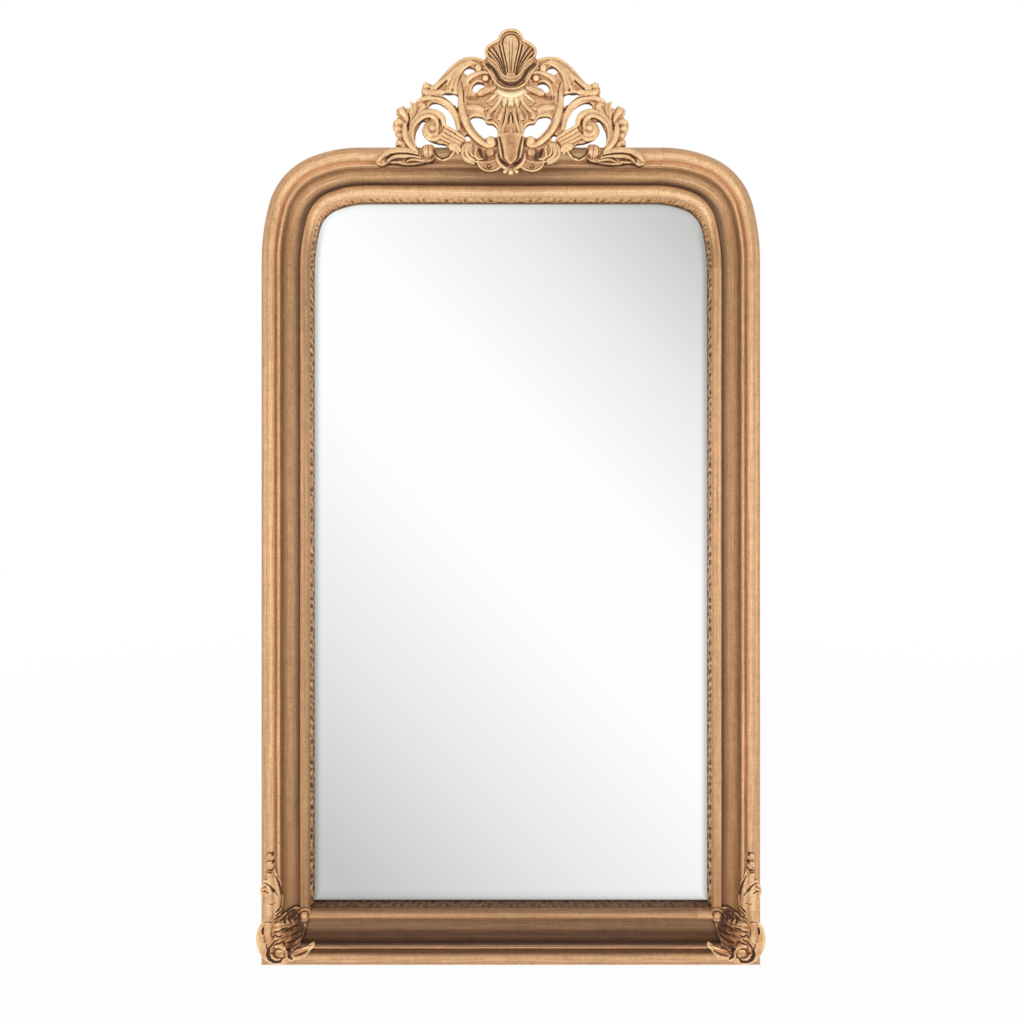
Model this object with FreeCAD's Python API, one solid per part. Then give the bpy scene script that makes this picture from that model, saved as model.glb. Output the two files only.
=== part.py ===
import FreeCAD, Part
import math
import os

# Gilt wall mirror: an arched wooden frame of deep section, a pierced crest with a shell, and
# two leaf ornaments on the lower corners. It hangs on two wall hooks by rings on its back.
# Millimetres. X runs to the right as seen from the front, Y points from the viewer to the wall
# and Z up. The origin is on the wall plane, midway between the two hooks, at their height.
# In a section, "inward" is the distance from the outer edge towards the middle of the glass,
# "depth" the distance behind the front of the outer roll, and "rise" the distance in front of
# the glass.

Vector = FreeCAD.Vector

# Frame, without crest and corner leaves
frame_width = 963.0
frame_height = 1577.0
frame_depth = 95.0
wall_gap = 8.0              # the pads hold the frame this far off the wall
hook_height = 1240.0        # from the bottom of the frame up to where the hooks bear

# Shoulders: three tangent arcs on each side, from the top rail round to the stile
top_arc_radius = 250.0
middle_arc_radius = 138.0
side_arc_radius = 425.0
top_arc_angle = 22.0
side_arc_angle = 15.0

# Section of the rail
roll_radius = 13.0          # outer roll
roll_end_angle = 150.0
quirk_inward = 25.8         # narrow groove beside the roll
quirk_depth = 15.5
quirk_floor = 1.3
quirk_floor_width = 1.4
bead_inward = 30.2          # flat bead between the groove and the hollow
bead_depth = 12.7
bead_end_inward = 33.8
bead_end_depth = 13.4
hollow_inward = 36.2        # deep hollow
hollow_depth = 16.4
hollow_end_inward = 62.0
hollow_end_rise = 27.0
slip_ledge_rise = 13.0      # ledge that carries the inner slip
glass_wall_inward = 68.0    # wall of the pocket for the glass
board_wall_inward = 56.0    # wall of the shallow pocket for the back board
board_thickness = 5.0

# Inner slip and its pressed leaf strip
slip_gap = 0.15
slip_start_rise = 29.5
slip_crown_inward = 68.6
slip_crown_rise = 36.0
slip_end_inward = 77.2
slip_end_rise = 19.0
slip_seat_inward = 79.3
slip_facets = 5
sight_edge_inward = 82.0
strip_gap = 0.15
strip_crown_inward = 81.3
strip_crown_rise = 13.0
strip_foot_gap = 0.3

# Glass, its blocks, packing and back board
glass_thickness = 5.0
glass_play = 3.0            # between the edge of the glass and the wall of its pocket
block_length = 60.0
block_play = 0.2
block_place_share = 0.25    # of the frame's width, from the centre line
board_play = 1.0
packing_thickness = 5.8
packing_play = 0.2

# Crest
crest_rise = 219.0          # from the top of the frame to the top of the shell
crest_reach = 226.0         # from the centre line to the tips of the scrollwork
crest_board = 9.0           # thickness of the pierced board
rail_fit = 0.2              # whatever lies on the rails is scribed to them with this gap
band_height = 7.0           # carved bands on the board
boss_height = 9.0
shell_base = 3.0
shell_rim = 9.0
ray_height = 6.0
collar_height = 10.0
palmette_base = 2.5
petal_height = 8.0
applied_thickness = 5.0     # aprons and foot leaves, in front of the roll
vein_height = 4.0
carved_chords = 3           # each arc of a carved outline is cut in this many flats
urn_width = 50.0
urn_neck_width = 34.0
urn_projection = 15.0
urn_rim = 4.0
urn_face_share = 0.55       # width of the urn's flat front
batten_width = 34.0
batten_thickness = 15.0
batten_share = 0.66         # of the crest's rise

# Corner leaves and husks
leaf_reach = 110.0
leaf_thickness = 5.0
leaf_side_depth = 24.0      # how far it laps round the frame's side
leaf_volute_radius = 17.0
leaf_volute_lift = 6.0
leaf_bud_radius = 9.5
leaf_bud_lift = 11.0
leaf_run = 260.0            # length of rail that a leaf is scribed to
husk_inward = 15.5
husk_spacing = 17.0
husk_width = 15.0
husk_height = 5.5
husk_taper_share = 0.12

# Hanging hardware
hanger_inward = 30.0        # centre line of each strap, from the outer edge of the frame
strap_width = 20.0
strap_thickness = 1.6
strap_length = 74.0
strap_first_screw = 14.0
strap_screw_spacing = 26.0
ring_wire = 4.0
ring_play = 0.08
ring_inside_width = 26.0
ring_inside_height = 24.0
ring_lift = 0.35            # gap between the hanging ring and the wood
ring_chords = 10
pad_size = 24.0
pad_rise = 60.0             # height of the pads above the bottom of the frame

# Bracket behind the crest, and all screws
bracket_width = 20.0
bracket_thickness = 2.5
bracket_foot = 40.0
bracket_riser = 50.0
bracket_screw_shares = (0.4, 0.8)
screw_radius = 2.0
screw_head_radius = 4.2
screw_head_height = 1.8
screw_length = 13.0
screw_clearance = 0.06
screw_head_sides = 8
screw_sides = 6
overrun = 5.0               # every cutter runs past what it cuts by this much
same_point = 0.001
roll_flats = 5              # flats that pieces lying on the roll and the hollow are cut to
hollow_flats = 4

half_width = frame_width / 2
bottom_z = -hook_height
top_z = bottom_z + frame_height
back_y = -wall_gap
front_y = back_y - frame_depth
board_depth = frame_depth - board_thickness
glass_inward = glass_wall_inward + glass_play
glass_back_depth = board_depth - packing_play - packing_thickness
glass_front_depth = glass_back_depth - glass_thickness
hollow_end_depth = glass_front_depth - hollow_end_rise
slip_ledge_depth = glass_front_depth - slip_ledge_rise
slip_start_depth = glass_front_depth - slip_start_rise
slip_crown_depth = glass_front_depth - slip_crown_rise
slip_end_depth = glass_front_depth - slip_end_rise
strip_crown_depth = glass_front_depth - strip_crown_rise
X_AXIS, Y_AXIS, Z_AXIS = Vector(1, 0, 0), Vector(0, 1, 0), Vector(0, 0, 1)
CENTRE = Vector(0, 0, 0)

# Shapes of the crest, as shares of its reach (outward) and of its rise (upward), for one half.
# A pair of points in an outline is the middle and the end of an arc. The third share of a
# carved band is its width, as a share of the rise.
board_outline_shares = [
    (0, -0.038), (0.432, -0.038), (0.534, -0.027), (0.545, -0.002),
    ((0.628, 0.019), (0.706, 0.055)), ((0.754, 0.122), (0.73, 0.214)),
    ((0.791, 0.153), (0.813, 0.079)), ((0.809, 0.016), (0.791, -0.038)), (0.892, -0.038),
    ((0.937, -0.01), (0.979, 0.005)), ((0.964, 0.06), (0.988, 0.113)),
    ((1.008, 0.18), (0.96, 0.247)), ((0.975, 0.303), (0.937, 0.331)),
    ((0.904, 0.343), (0.88, 0.315)), (0.851, 0.328), (0.851, 0.385), (0.827, 0.367),
    ((0.791, 0.392), (0.759, 0.421)), ((0.76, 0.483), (0.73, 0.521)),
    ((0.691, 0.536), (0.65, 0.522)), ((0.537, 0.621), (0.432, 0.725)),
    ((0.341, 0.767), (0.232, 0.745)), (0.202, 0.818), ((0.172, 0.882), (0.112, 0.898)),
    ((0.077, 0.971), (0, 0.986)),
]
board_hole_shares = [
    [(0.304, 0.64), (0.325, 0.616), (0.361, 0.61), (0.392, 0.626), (0.399, 0.654),
     (0.378, 0.678), (0.342, 0.684), (0.311, 0.668)],
    [(0.326, 0.483), (0.303, 0.538), (0.258, 0.546), (0.22, 0.522), (0.266, 0.491),
     (0.296, 0.46)],
    [(0.594, 0.437), (0.522, 0.452), (0.462, 0.445), (0.444, 0.39), (0.453, 0.328),
     (0.507, 0.378)],
    [(0.688, 0.359), ((0.545, 0.328), (0.459, 0.118)), (0.54, 0.16),
     ((0.579, 0.275), (0.688, 0.32))],
    [(0.341, 0.234), (0.281, 0.25), (0.228, 0.234), (0.205, 0.195), (0.145, 0.18),
     (0.11, 0.125), (0.11, 0.079), (0.175, 0.072), (0.22, 0.06), (0.278, 0.11), (0.323, 0.172)],
    [(0.379, 0.091), (0.344, 0.044), (0.382, 0.041)],
]
lyre_shares = [
    (0.198, 0.586, 0.025), (0.25, 0.611, 0.034), (0.311, 0.605, 0.037), (0.364, 0.569, 0.044),
    (0.398, 0.499, 0.053), (0.416, 0.406, 0.056), (0.424, 0.32, 0.053), (0.413, 0.234, 0.053),
    (0.386, 0.149, 0.056), (0.344, 0.079, 0.059), (0.281, 0.026, 0.05), (0.215, 0.004, 0.03),
]
outer_sweep_shares = [
    (0.26, 0.722, 0.016), (0.3, 0.728, 0.037), (0.364, 0.717, 0.053), (0.432, 0.666, 0.069),
    (0.499, 0.592, 0.078), (0.575, 0.533, 0.072), (0.658, 0.491, 0.062), (0.733, 0.483, 0.028),
]
inner_sweep_shares = [
    (0.504, 0.476, 0.019), (0.465, 0.569, 0.034), (0.409, 0.667, 0.031), (0.341, 0.72, 0.012),
]
arch_shares = [
    (0.751, 0.39, 0.019), (0.688, 0.409, 0.037), (0.613, 0.409, 0.044), (0.537, 0.367, 0.044),
    (0.484, 0.297, 0.04), (0.451, 0.203, 0.037), (0.435, 0.122, 0.025),
]
scroll_shares = [
    (0.79, -0.005, 0.03), (0.818, 0.045, 0.04), (0.836, 0.125, 0.044), (0.816, 0.203, 0.053),
    (0.756, 0.273, 0.062), (0.673, 0.308, 0.056), (0.605, 0.281, 0.053), (0.563, 0.216, 0.047),
    (0.575, 0.153, 0.031),
]
stem_shares = [(0.6, 0.128, 0.062), (0.499, 0.071, 0.062), (0.398, 0.019, 0.05)]
edge_leaf_shares = [
    (0.815, -0.012, 0.022), (0.856, 0.024, 0.036), (0.89, 0.094, 0.044), (0.911, 0.188, 0.037),
    (0.92, 0.294, 0.019),
]
tip_leaf_shares = [(0.824, 0.172, 0.019), (0.842, 0.25, 0.034), (0.848, 0.359, 0.016)]
boss_shares = [(0.665, 0.141, 0.075), (0.213, 0.569, 0.028), (0.163, 0.03, 0.035)]
shell_outline_shares = [
    (0, 0.546), (0.062, 0.554), (0.118, 0.639), (0.178, 0.705), (0.217, 0.745),
    ((0.229, 0.817), (0.19, 0.873)), ((0.152, 0.907), (0.115, 0.907)), ((0.094, 0.982), (0, 1)),
]
rim_shares = [
    (0.217, 0.76, 0.02), (0.222, 0.803, 0.022), (0.193, 0.862, 0.022), (0.147, 0.893, 0.022),
    (0.106, 0.91, 0.019), (0.084, 0.956, 0.02), (0.047, 0.981, 0.02), (0, 0.989, 0.02),
]
ray_shares = [
    [(0.011, 0.596, 0.012), (0.03, 0.717, 0.022), (0.059, 0.865, 0.031)],
    [(0.024, 0.596, 0.012), (0.072, 0.696, 0.022), (0.125, 0.823, 0.028)],
    [(0.036, 0.597, 0.012), (0.107, 0.673, 0.019), (0.175, 0.771, 0.025)],
]
collar_shares = [
    (0.22, 0.726, 0.037), (0.178, 0.697, 0.047), (0.137, 0.639, 0.053), (0.103, 0.569, 0.056),
    (0.057, 0.522, 0.056), (0, 0.504, 0.056),
]
palmette_outline_shares = [
    (0, 0.079), (0.069, 0.079), (0.097, 0.172), (0.145, 0.219), (0.13, 0.32), (0.19, 0.359),
    (0.13, 0.437), (0.21, 0.46), (0.119, 0.5), ((0.06, 0.466), (0, 0.455)),
]
petal_shares = [
    [(0.135, 0.485, 0.022), (0.19, 0.472, 0.05), (0.253, 0.455, 0.056), (0.296, 0.44, 0.019)],
    [(0.112, 0.444, 0.022), (0.169, 0.382, 0.053), (0.213, 0.315, 0.019)],
    [(0.094, 0.404, 0.022), (0.127, 0.328, 0.053), (0.157, 0.25, 0.059), (0.139, 0.194, 0.019)],
    [(0.057, 0.39, 0.022), (0.072, 0.297, 0.044), (0.075, 0.188, 0.047), (0.055, 0.098, 0.031)],
]
apron_outline_shares = [
    (0.118, -0.03), (0.104, -0.124), ((0.118, -0.217), (0.184, -0.261)),
    ((0.263, -0.233), (0.287, -0.155)), (0.303, -0.136), ((0.371, -0.139), (0.413, -0.04)),
    ((0.364, -0.014), (0.303, -0.03)),
]
apron_vein_shares = [
    [(0.395, -0.05, 0.02), (0.36, -0.085, 0.04), (0.315, -0.12, 0.02)],
    [(0.355, -0.045, 0.02), (0.315, -0.075, 0.04), (0.275, -0.115, 0.02)],
    [(0.27, -0.14, 0.02), (0.2, -0.115, 0.03), (0.125, -0.135, 0.02)],
]
foot_outline_shares = [
    (0.733, -0.062), ((0.665, -0.002), (0.646, -0.077)), ((0.655, -0.136), (0.706, -0.155)),
    ((0.869, -0.18), (1.035, -0.164)), ((1.095, -0.189), (1.144, -0.136)),
    ((1.095, -0.069), (1.017, -0.037)), ((0.884, -0.037), (0.791, -0.077)),
]
foot_vein_shares = [
    [(0.76, -0.115, 0.03), (0.9, -0.085, 0.05), (1.02, -0.075, 0.04), (1.1, -0.125, 0.015)],
    [(0.74, -0.135, 0.015), (0.88, -0.145, 0.03), (1.0, -0.14, 0.012)],
]
foot_ball_share = (0.695, -0.08, 0.055)
tendril_shares = [
    (0.688, -0.135, 0.022), (0.62, -0.15, 0.019), (0.552, -0.136, 0.019), (0.507, -0.077, 0.022),
    (0.483, -0.032, 0.034),
]
urn_top_share = 0.07
urn_neck_share = -0.14
urn_tip_share = -0.21
bud_outline_shares = [
    (0, -0.185), (0.045, -0.205), ((0.075, -0.235), (0.045, -0.255)), ((0.03, -0.29), (0, -0.29)),
]

# Corner leaf, as shares of its reach: inward from the outer edge, and up from the bottom
leaf_outline_shares = [
    (0.27, 1.535), (0.1, 1.51), ((0.01, 1.35), (0.045, 1.22)), (0.055, 0.94), (0.05, 0.82),
    ((-0.055, 0.48), (0.045, 0.16)), ((0.13, 0.04), (0.27, 0.018)), ((0.37, 0.035), (0.46, 0.1)),
    (0.7, 0.18), ((0.85, 0.2), (0.92, 0.32)), (0.83, 0.33), (0.69, 0.26), (0.69, 0.43),
    (0.7, 0.6), ((0.8, 0.67), (0.73, 0.79)), (0.62, 0.76), ((0.52, 0.82), (0.4, 0.82)),
    (0.34, 0.79), (0.38, 1.15), (0.36, 1.27), ((0.35, 1.44), (0.27, 1.535)),
]
leaf_scroll_shares = [
    (0.13, 0.82, 0.05), (0.04, 0.66, 0.09), (0.0, 0.48, 0.1), (0.03, 0.31, 0.1),
    (0.12, 0.16, 0.1), (0.25, 0.09, 0.09), (0.37, 0.14, 0.08), (0.42, 0.26, 0.07),
]
leaf_vein_shares = [(0.2, 1.45, 0.05), (0.24, 1.25, 0.11), (0.17, 1.05, 0.11), (0.16, 0.86, 0.05)]
leaf_volute_share = (0.3, 0.31)
leaf_bud_share = (0.69, 0.7)
husk_shares = [(-0.12, 0.5), (0.35, 1.0), (0.9, 0.45)]

# Cross-sections of carved bands: shares of the width and of the height
ridge_shares = [(-0.5, 0), (0, 1), (0.5, 0)]
round_shares = [(-0.5, 0), (-0.3, 0.8), (0, 1), (0.3, 0.8), (0.5, 0)]
channel_shares = [
    (-0.5, 0), (-0.4, 1), (-0.25, 1), (-0.12, 0.4), (0.12, 0.4), (0.25, 1), (0.4, 1), (0.5, 0),
]
boss_ring_shares = [(0.0, 1.0), (0.6, 0.85), (1.0, 0.55)]    # height and radius


def mirrored(shape):
    """The same piece on the other side of the centre line."""
    return shape.mirror(CENTRE, X_AXIS)


def depth_to_y(depth):
    return front_y + depth


def joined(shapes):
    """Several shapes as one solid, without the seams between them."""
    whole = shapes[0]
    if len(shapes) > 1:
        whole = whole.fuse(shapes[1:])
    return whole.removeSplitter()


def polygon(spots):
    return Part.makePolygon(spots + spots[:1])


def closed_face(outline, place, chords=0):
    """A flat face from an outline in its own two coordinates. A point alone ends a straight
    edge, and a pair of points is the middle and the end of an arc, or of a row of chords."""
    first = place(*outline[0])
    here, edges = first, []
    for item in outline[1:]:
        if isinstance(item[0], tuple):
            end = place(*item[1])
            arc = Part.Arc(here, place(*item[0]), end).toShape()
            spots = arc.discretize(chords + 1) if chords else []
            edges += [Part.makeLine(p, q) for p, q in zip(spots, spots[1:])] or [arc]
        else:
            end = place(*item)
            edges.append(Part.makeLine(here, end))
        here = end
    if not here.isEqual(first, same_point):
        edges.append(Part.makeLine(here, first))
    return Part.Face(Part.Wire(edges))


# Shoulder arcs: a centre, a radius, a start angle and a turn, for the right-hand side.
# Angles are measured from straight up, towards the right.
def shoulder_arcs():
    turns = (top_arc_angle, 90.0 - top_arc_angle - side_arc_angle, side_arc_angle)
    radii = (top_arc_radius, middle_arc_radius, side_arc_radius)
    arcs, x, z, angle = [], 0.0, 0.0, 0.0
    for radius, turn in zip(radii, turns):
        start, end = math.radians(angle), math.radians(angle + turn)
        centre_x = x - radius * math.sin(start)
        centre_z = z - radius * math.cos(start)
        arcs.append((centre_x, centre_z, radius, angle, turn))
        angle += turn
        x = centre_x + radius * math.sin(end)
        z = centre_z + radius * math.cos(end)
    shift = half_width - x
    placed = [(cx + shift, cz + top_z, r, a, t) for cx, cz, r, a, t in arcs]
    return placed, shift, z + top_z


SHOULDER, shoulder_x, shoulder_z = shoulder_arcs()


def on_top(x):
    return lambda inward, depth: Vector(x, depth_to_y(depth), top_z - inward)


def on_bottom(x):
    return lambda inward, depth: Vector(x, depth_to_y(depth), bottom_z + inward)


def on_left(z):
    return lambda inward, depth: Vector(inward - half_width, depth_to_y(depth), z)


def on_arc(arc):
    centre_x, centre_z, radius, angle, _ = arc
    across, up = math.sin(math.radians(angle)), math.cos(math.radians(angle))

    def place(inward, depth):
        reach = radius - inward
        return Vector(centre_x + reach * across, depth_to_y(depth), centre_z + reach * up)

    return place


def mitre_wedge():
    """Everything below the 45 degree joint of the bottom left corner."""
    reach = frame_depth
    left, low, run = -half_width - reach, bottom_z - reach, half_width + reach
    ends = ((left, low), (left + run, low + run), (left + run, low))
    face = Part.Face(polygon([Vector(x, front_y - reach, z) for x, z in ends]))
    return face.extrude(Y_AXIS * (frame_depth + 2 * reach))


def moulding_set(outline):
    """The same section run round the whole frame: the straight runs and the two shoulders."""
    below = mitre_wedge()
    stile = closed_face(outline, on_left(bottom_z)).extrude(Z_AXIS * (shoulder_z - bottom_z))
    stile = stile.cut(below)
    rail = closed_face(outline, on_bottom(-half_width)).extrude(X_AXIS * half_width)
    rail = rail.common(below)
    arcs = []
    for arc in SHOULDER:
        face = closed_face(outline, on_arc(arc))
        arcs.append(face.revolve(Vector(arc[0], 0, arc[1]), Y_AXIS, arc[-1]))
    shoulder = joined(arcs)
    return {
        "left": stile,
        "right": mirrored(stile),
        "bottom": joined([rail, mirrored(rail)]),
        "top": closed_face(outline, on_top(-shoulder_x)).extrude(X_AXIS * 2 * shoulder_x),
        "shoulders": Part.makeCompound([mirrored(shoulder), shoulder]),
    }


def frame_outline(inward):
    """The closed outline of the frame, moved inward, as a wire on the plane Y = 0."""
    side, low, top = half_width - inward, bottom_z + inward, top_z - inward
    arcs = []
    for centre_x, centre_z, radius, angle, turn in SHOULDER:
        reach, spots = radius - inward, []
        for part_angle in (angle, angle + turn / 2, angle + turn):
            a = math.radians(part_angle)
            spots.append(Vector(centre_x + reach * math.sin(a), 0, centre_z + reach * math.cos(a)))
        arcs.append(Part.Arc(*spots).toShape())
        arcs.append(mirrored(arcs[-1]))
    straight = [
        Part.makeLine(Vector(-side, 0, low), Vector(side, 0, low)),
        Part.makeLine(Vector(side, 0, low), Vector(side, 0, shoulder_z)),
        Part.makeLine(Vector(shoulder_x, 0, top), Vector(-shoulder_x, 0, top)),
        Part.makeLine(Vector(-side, 0, shoulder_z), Vector(-side, 0, low)),
    ]
    return Part.Wire(Part.__sortEdges__(straight + arcs))


def sheet(inward, depth, thickness):
    """A flat sheet with the outline of the frame, moved inward."""
    face = Part.Face(frame_outline(inward))
    face.translate(Vector(0, depth_to_y(depth), 0))
    return face.extrude(Y_AXIS * thickness)


# Sections of the three mouldings
def roll_point(degrees, grow=1.0):
    """A point on the outer roll. 0 degrees is the outer edge and 90 the crown."""
    a, radius = math.radians(degrees), roll_radius * grow
    return roll_radius - radius * math.cos(a), roll_radius - radius * math.sin(a)


def hollow_point(share):
    """A point on the hollow's arc, which leaves the bead straight back."""
    run, drop = hollow_end_inward - hollow_inward, hollow_end_depth - hollow_depth
    radius = (run * run + drop * drop) / (2 * run)
    turn = math.asin(drop / radius) * share
    return hollow_inward + radius * (1 - math.cos(turn)), hollow_depth + radius * math.sin(turn)


def bead_points():
    return [
        (quirk_inward, quirk_depth),
        (quirk_inward + quirk_floor_width, quirk_depth + quirk_floor),
        (bead_inward, bead_depth),
        (bead_end_inward, bead_end_depth),
        (hollow_inward, hollow_depth),
    ]


def rail_outline():
    roll = [(roll_point(roll_end_angle / 2), roll_point(roll_end_angle))]
    hollow = [(hollow_point(0.5), hollow_point(1.0))]
    pocket = [
        (hollow_end_inward, slip_ledge_depth),
        (glass_wall_inward, slip_ledge_depth),
        (glass_wall_inward, board_depth),
        (board_wall_inward, board_depth),
        (board_wall_inward, frame_depth),
    ]
    return [(0.0, frame_depth), (0.0, roll_radius)] + roll + bead_points() + hollow + pocket


def slip_curve(outer):
    """Points of the slip's rounded face, which is cut in narrow flats."""
    start = Vector(outer, slip_start_depth, 0)
    crown = Vector(slip_crown_inward, slip_crown_depth, 0)
    arc = Part.Arc(start, crown, Vector(slip_end_inward, slip_end_depth, 0))
    return [(p.x, p.y) for p in arc.toShape().discretize(slip_facets + 1)]


def slip_outline():
    outer, ledge = hollow_end_inward + slip_gap, slip_ledge_depth - slip_gap
    seat = glass_wall_inward + slip_gap
    foot = [(slip_seat_inward, glass_front_depth), (seat, glass_front_depth), (seat, ledge)]
    return [(outer, ledge)] + slip_curve(outer) + foot


def strip_outline():
    foot = glass_front_depth - strip_foot_gap
    return [
        (slip_end_inward + strip_gap, slip_end_depth),
        (strip_crown_inward, strip_crown_depth),
        (sight_edge_inward, foot),
        (slip_seat_inward + strip_gap, foot),
    ]


def scribe_face(place, gap):
    """The section that pieces lying on the mouldings are fitted to: the whole moulding in
    flats that nowhere cut into it, moved out by a gap."""
    step = roll_end_angle / roll_flats
    grow = 1 / math.cos(math.radians(step / 2))
    outline = [(0.0, frame_depth)]
    outline += [roll_point(step * (k + 0.5), grow) for k in range(roll_flats)]
    outline += bead_points()[2:]
    outline += [hollow_point((k + 1) / hollow_flats) for k in range(hollow_flats)]
    outline += slip_curve(hollow_end_inward + slip_gap)
    outline += [
        (strip_crown_inward, strip_crown_depth),
        (sight_edge_inward, glass_front_depth),
        (sight_edge_inward, frame_depth),
    ]
    return closed_face(outline, place).makeOffset2D(gap, 2)


def scribed_top(gap):
    """What lies on the top rail is cut with this."""
    return scribe_face(on_top(-half_width), gap).extrude(X_AXIS * frame_width)


def scribed_corner(gap):
    """The same for the bottom left corner: two runs that meet in a mitre."""
    face = scribe_face(on_left(bottom_z - leaf_reach), gap)
    run = face.extrude(Z_AXIS * (leaf_run + leaf_reach)).cut(mitre_wedge())
    corner = Vector(-half_width, 0, bottom_z)
    return joined([run, run.mirror(corner, Vector(1, 0, -1))])


# Carved bands
def heading(path, k):
    """The direction of a path at a point, midway between the runs on its two sides."""
    first = max(k - 1, 0)
    along, up = 0.0, 0.0
    for here, there in zip(path[first:k + 1], path[first + 1:k + 2]):
        run, rise = there[0] - here[0], there[1] - here[1]
        length = math.hypot(run, rise)
        along += run / length
        up += rise / length
    size = math.hypot(along, up)
    return along / size, up / size


def in_sizes(outline, wide, high):
    """An outline or path of shares in real sizes."""
    sizes = []
    for item in outline:
        if isinstance(item[0], tuple):
            sizes.append(tuple((a * wide, b * high) for a, b in item))
        else:
            sizes.append((item[0] * wide, item[1] * high) + tuple(w * high for w in item[2:]))
    return sizes


def crest_sizes(outline):
    return in_sizes(outline, crest_reach, crest_rise)


def leaf_sizes(outline):
    return in_sizes(outline, leaf_reach, leaf_reach)


def on_crest(depth):
    """Outward to the left and up from the top of the frame, at a depth."""
    return lambda outward, up: Vector(-outward, depth_to_y(depth), top_z + up)


def on_corner(depth):
    """Inward and up from the bottom left corner, at a depth."""
    return lambda inward, up: Vector(inward - half_width, depth_to_y(depth), bottom_z + up)


def both_halves(outline):
    """An outline drawn from the centre line to the centre line, and its mirror image."""
    here, back = outline[0], []
    for item in outline[1:]:
        if isinstance(item[0], tuple):
            back.insert(0, (item[0], here))
            here = item[1]
        else:
            back.insert(0, here)
            here = item
    return outline + in_sizes(back, -1, 1)


def prism(outline, plane, front, back):
    """A flat carved piece between two depths."""
    return closed_face(outline, plane(front), carved_chords).extrude(Y_AXIS * (back - front))


def faceted(rings):
    """A closed solid through rings of points, in flat triangles."""
    faces = [Part.Face(polygon(rings[0])), Part.Face(polygon(rings[-1]))]
    for low, high in zip(rings, rings[1:]):
        for k in range(len(low)):
            a, b, c, d = low[k - 1], low[k], high[k], high[k - 1]
            faces += [Part.Face(polygon(list(t))) for t in ((a, b, c), (a, c, d))]
    solid = Part.Solid(Part.Shell(faces))
    return solid if solid.Volume > 0 else solid.reversed()


def carved_band(path, plane, base, height, shares):
    """A carved band that runs along a path. Its section is given in shares of the width,
    which changes along the path, and of the height."""
    rings = []
    for k, (a, b, width) in enumerate(path):
        along, up = heading(path, k)
        spots = []
        for across, lift in shares:
            off = across * width
            spots.append(plane(base - lift * height)(a - up * off, b + along * off))
        rings.append(spots)
    return faceted(rings)


def boss(spot, plane, base, height, sides=8):
    """A low many-sided boss, smaller at its top."""
    a, b, radius = spot
    turns = [math.radians(360.0 * k / sides) for k in range(sides)]
    rings = []
    for lift, size in boss_ring_shares:
        reach, place = radius * size, plane(base - height * lift)
        rings.append([place(a + reach * math.cos(t), b + reach * math.sin(t)) for t in turns])
    return faceted(rings)


def crest_band(path_shares, base, height, shares):
    return carved_band(crest_sizes(path_shares), on_crest, base, height, shares)


def plain_board():
    return prism(both_halves(crest_sizes(board_outline_shares)), on_crest, 0.0, crest_board)


def scrollwork():
    """The pierced board with its carved bands, in one piece."""
    ridges = (
        lyre_shares, outer_sweep_shares, inner_sweep_shares, arch_shares, scroll_shares,
        edge_leaf_shares, tip_leaf_shares,
    )
    half = [crest_band(path, 0.0, band_height, ridge_shares) for path in ridges]
    half.append(crest_band(stem_shares, 0.0, band_height, round_shares))
    half += [boss(spot, on_crest, 0.0, boss_height) for spot in crest_sizes(boss_shares)]
    whole = joined([plain_board()] + half + [mirrored(b) for b in half])
    for hole in board_hole_shares:
        cutter = prism(crest_sizes(hole), on_crest, -boss_height - overrun, crest_board + overrun)
        whole = whole.cut([cutter, mirrored(cutter)])
    return whole.cut(scribed_top(rail_fit))


def shell():
    outline = both_halves(crest_sizes(shell_outline_shares))
    plate = prism(outline, on_crest, -shell_base, 0.0)
    half = [crest_band(rim_shares, -shell_base, shell_rim - shell_base, ridge_shares)]
    half += [crest_band(ray, -shell_base, ray_height - shell_base, ridge_shares) for ray in ray_shares]
    return joined([plate] + half + [mirrored(b) for b in half])


def collar():
    """The channelled band that the shell rests in."""
    path = crest_sizes(collar_shares)
    path += [(-a, b, w) for a, b, w in reversed(path[:-1])]
    return carved_band(path, on_crest, 0.0, collar_height, channel_shares)


def palmette():
    outline = both_halves(crest_sizes(palmette_outline_shares))
    base = prism(outline, on_crest, -palmette_base, 0.0)
    petals = [crest_band(petal, 0.0, petal_height, round_shares) for petal in petal_shares]
    return joined([base] + petals + [mirrored(p) for p in petals])


def urn():
    """A square vase in front of the rail, with a lobed bud under its tip."""
    top, neck, tip = (crest_rise * s for s in (urn_top_share, urn_neck_share, urn_tip_share))
    under_rim = top - urn_rim
    steps = [
        ((top, urn_width, urn_projection), (under_rim, urn_width, urn_projection)),
        ((under_rim, urn_width - urn_rim, urn_projection - urn_rim / 2),
         (neck, urn_neck_width, urn_projection - urn_rim)),
        ((neck, urn_neck_width, urn_projection - urn_rim), (tip, urn_rim, urn_rim)),
    ]
    pieces = []
    for step in steps:
        rings = []
        for z, wide, out in step:
            half, front = wide / 2, wide * urn_face_share / 2
            back, face = on_crest(0.0), on_crest(-out)
            rings.append([back(-half, z), face(-front, z), face(front, z), back(half, z)])
        pieces.append(faceted(rings))
    outline = both_halves(crest_sizes(bud_outline_shares))
    return joined(pieces + [prism(outline, on_crest, -applied_thickness, 0.0)])


def scribed_piece(outline_shares, extras):
    """A leaf in front of the roll, scribed to it and to the board behind."""
    plate = prism(crest_sizes(outline_shares), on_crest, -applied_thickness, crest_board)
    return joined([plate] + extras).cut([plain_board(), scribed_top(rail_fit)])


def apron():
    veins = [crest_band(v, -applied_thickness, vein_height, ridge_shares) for v in apron_vein_shares]
    return scribed_piece(apron_outline_shares, veins)


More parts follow.
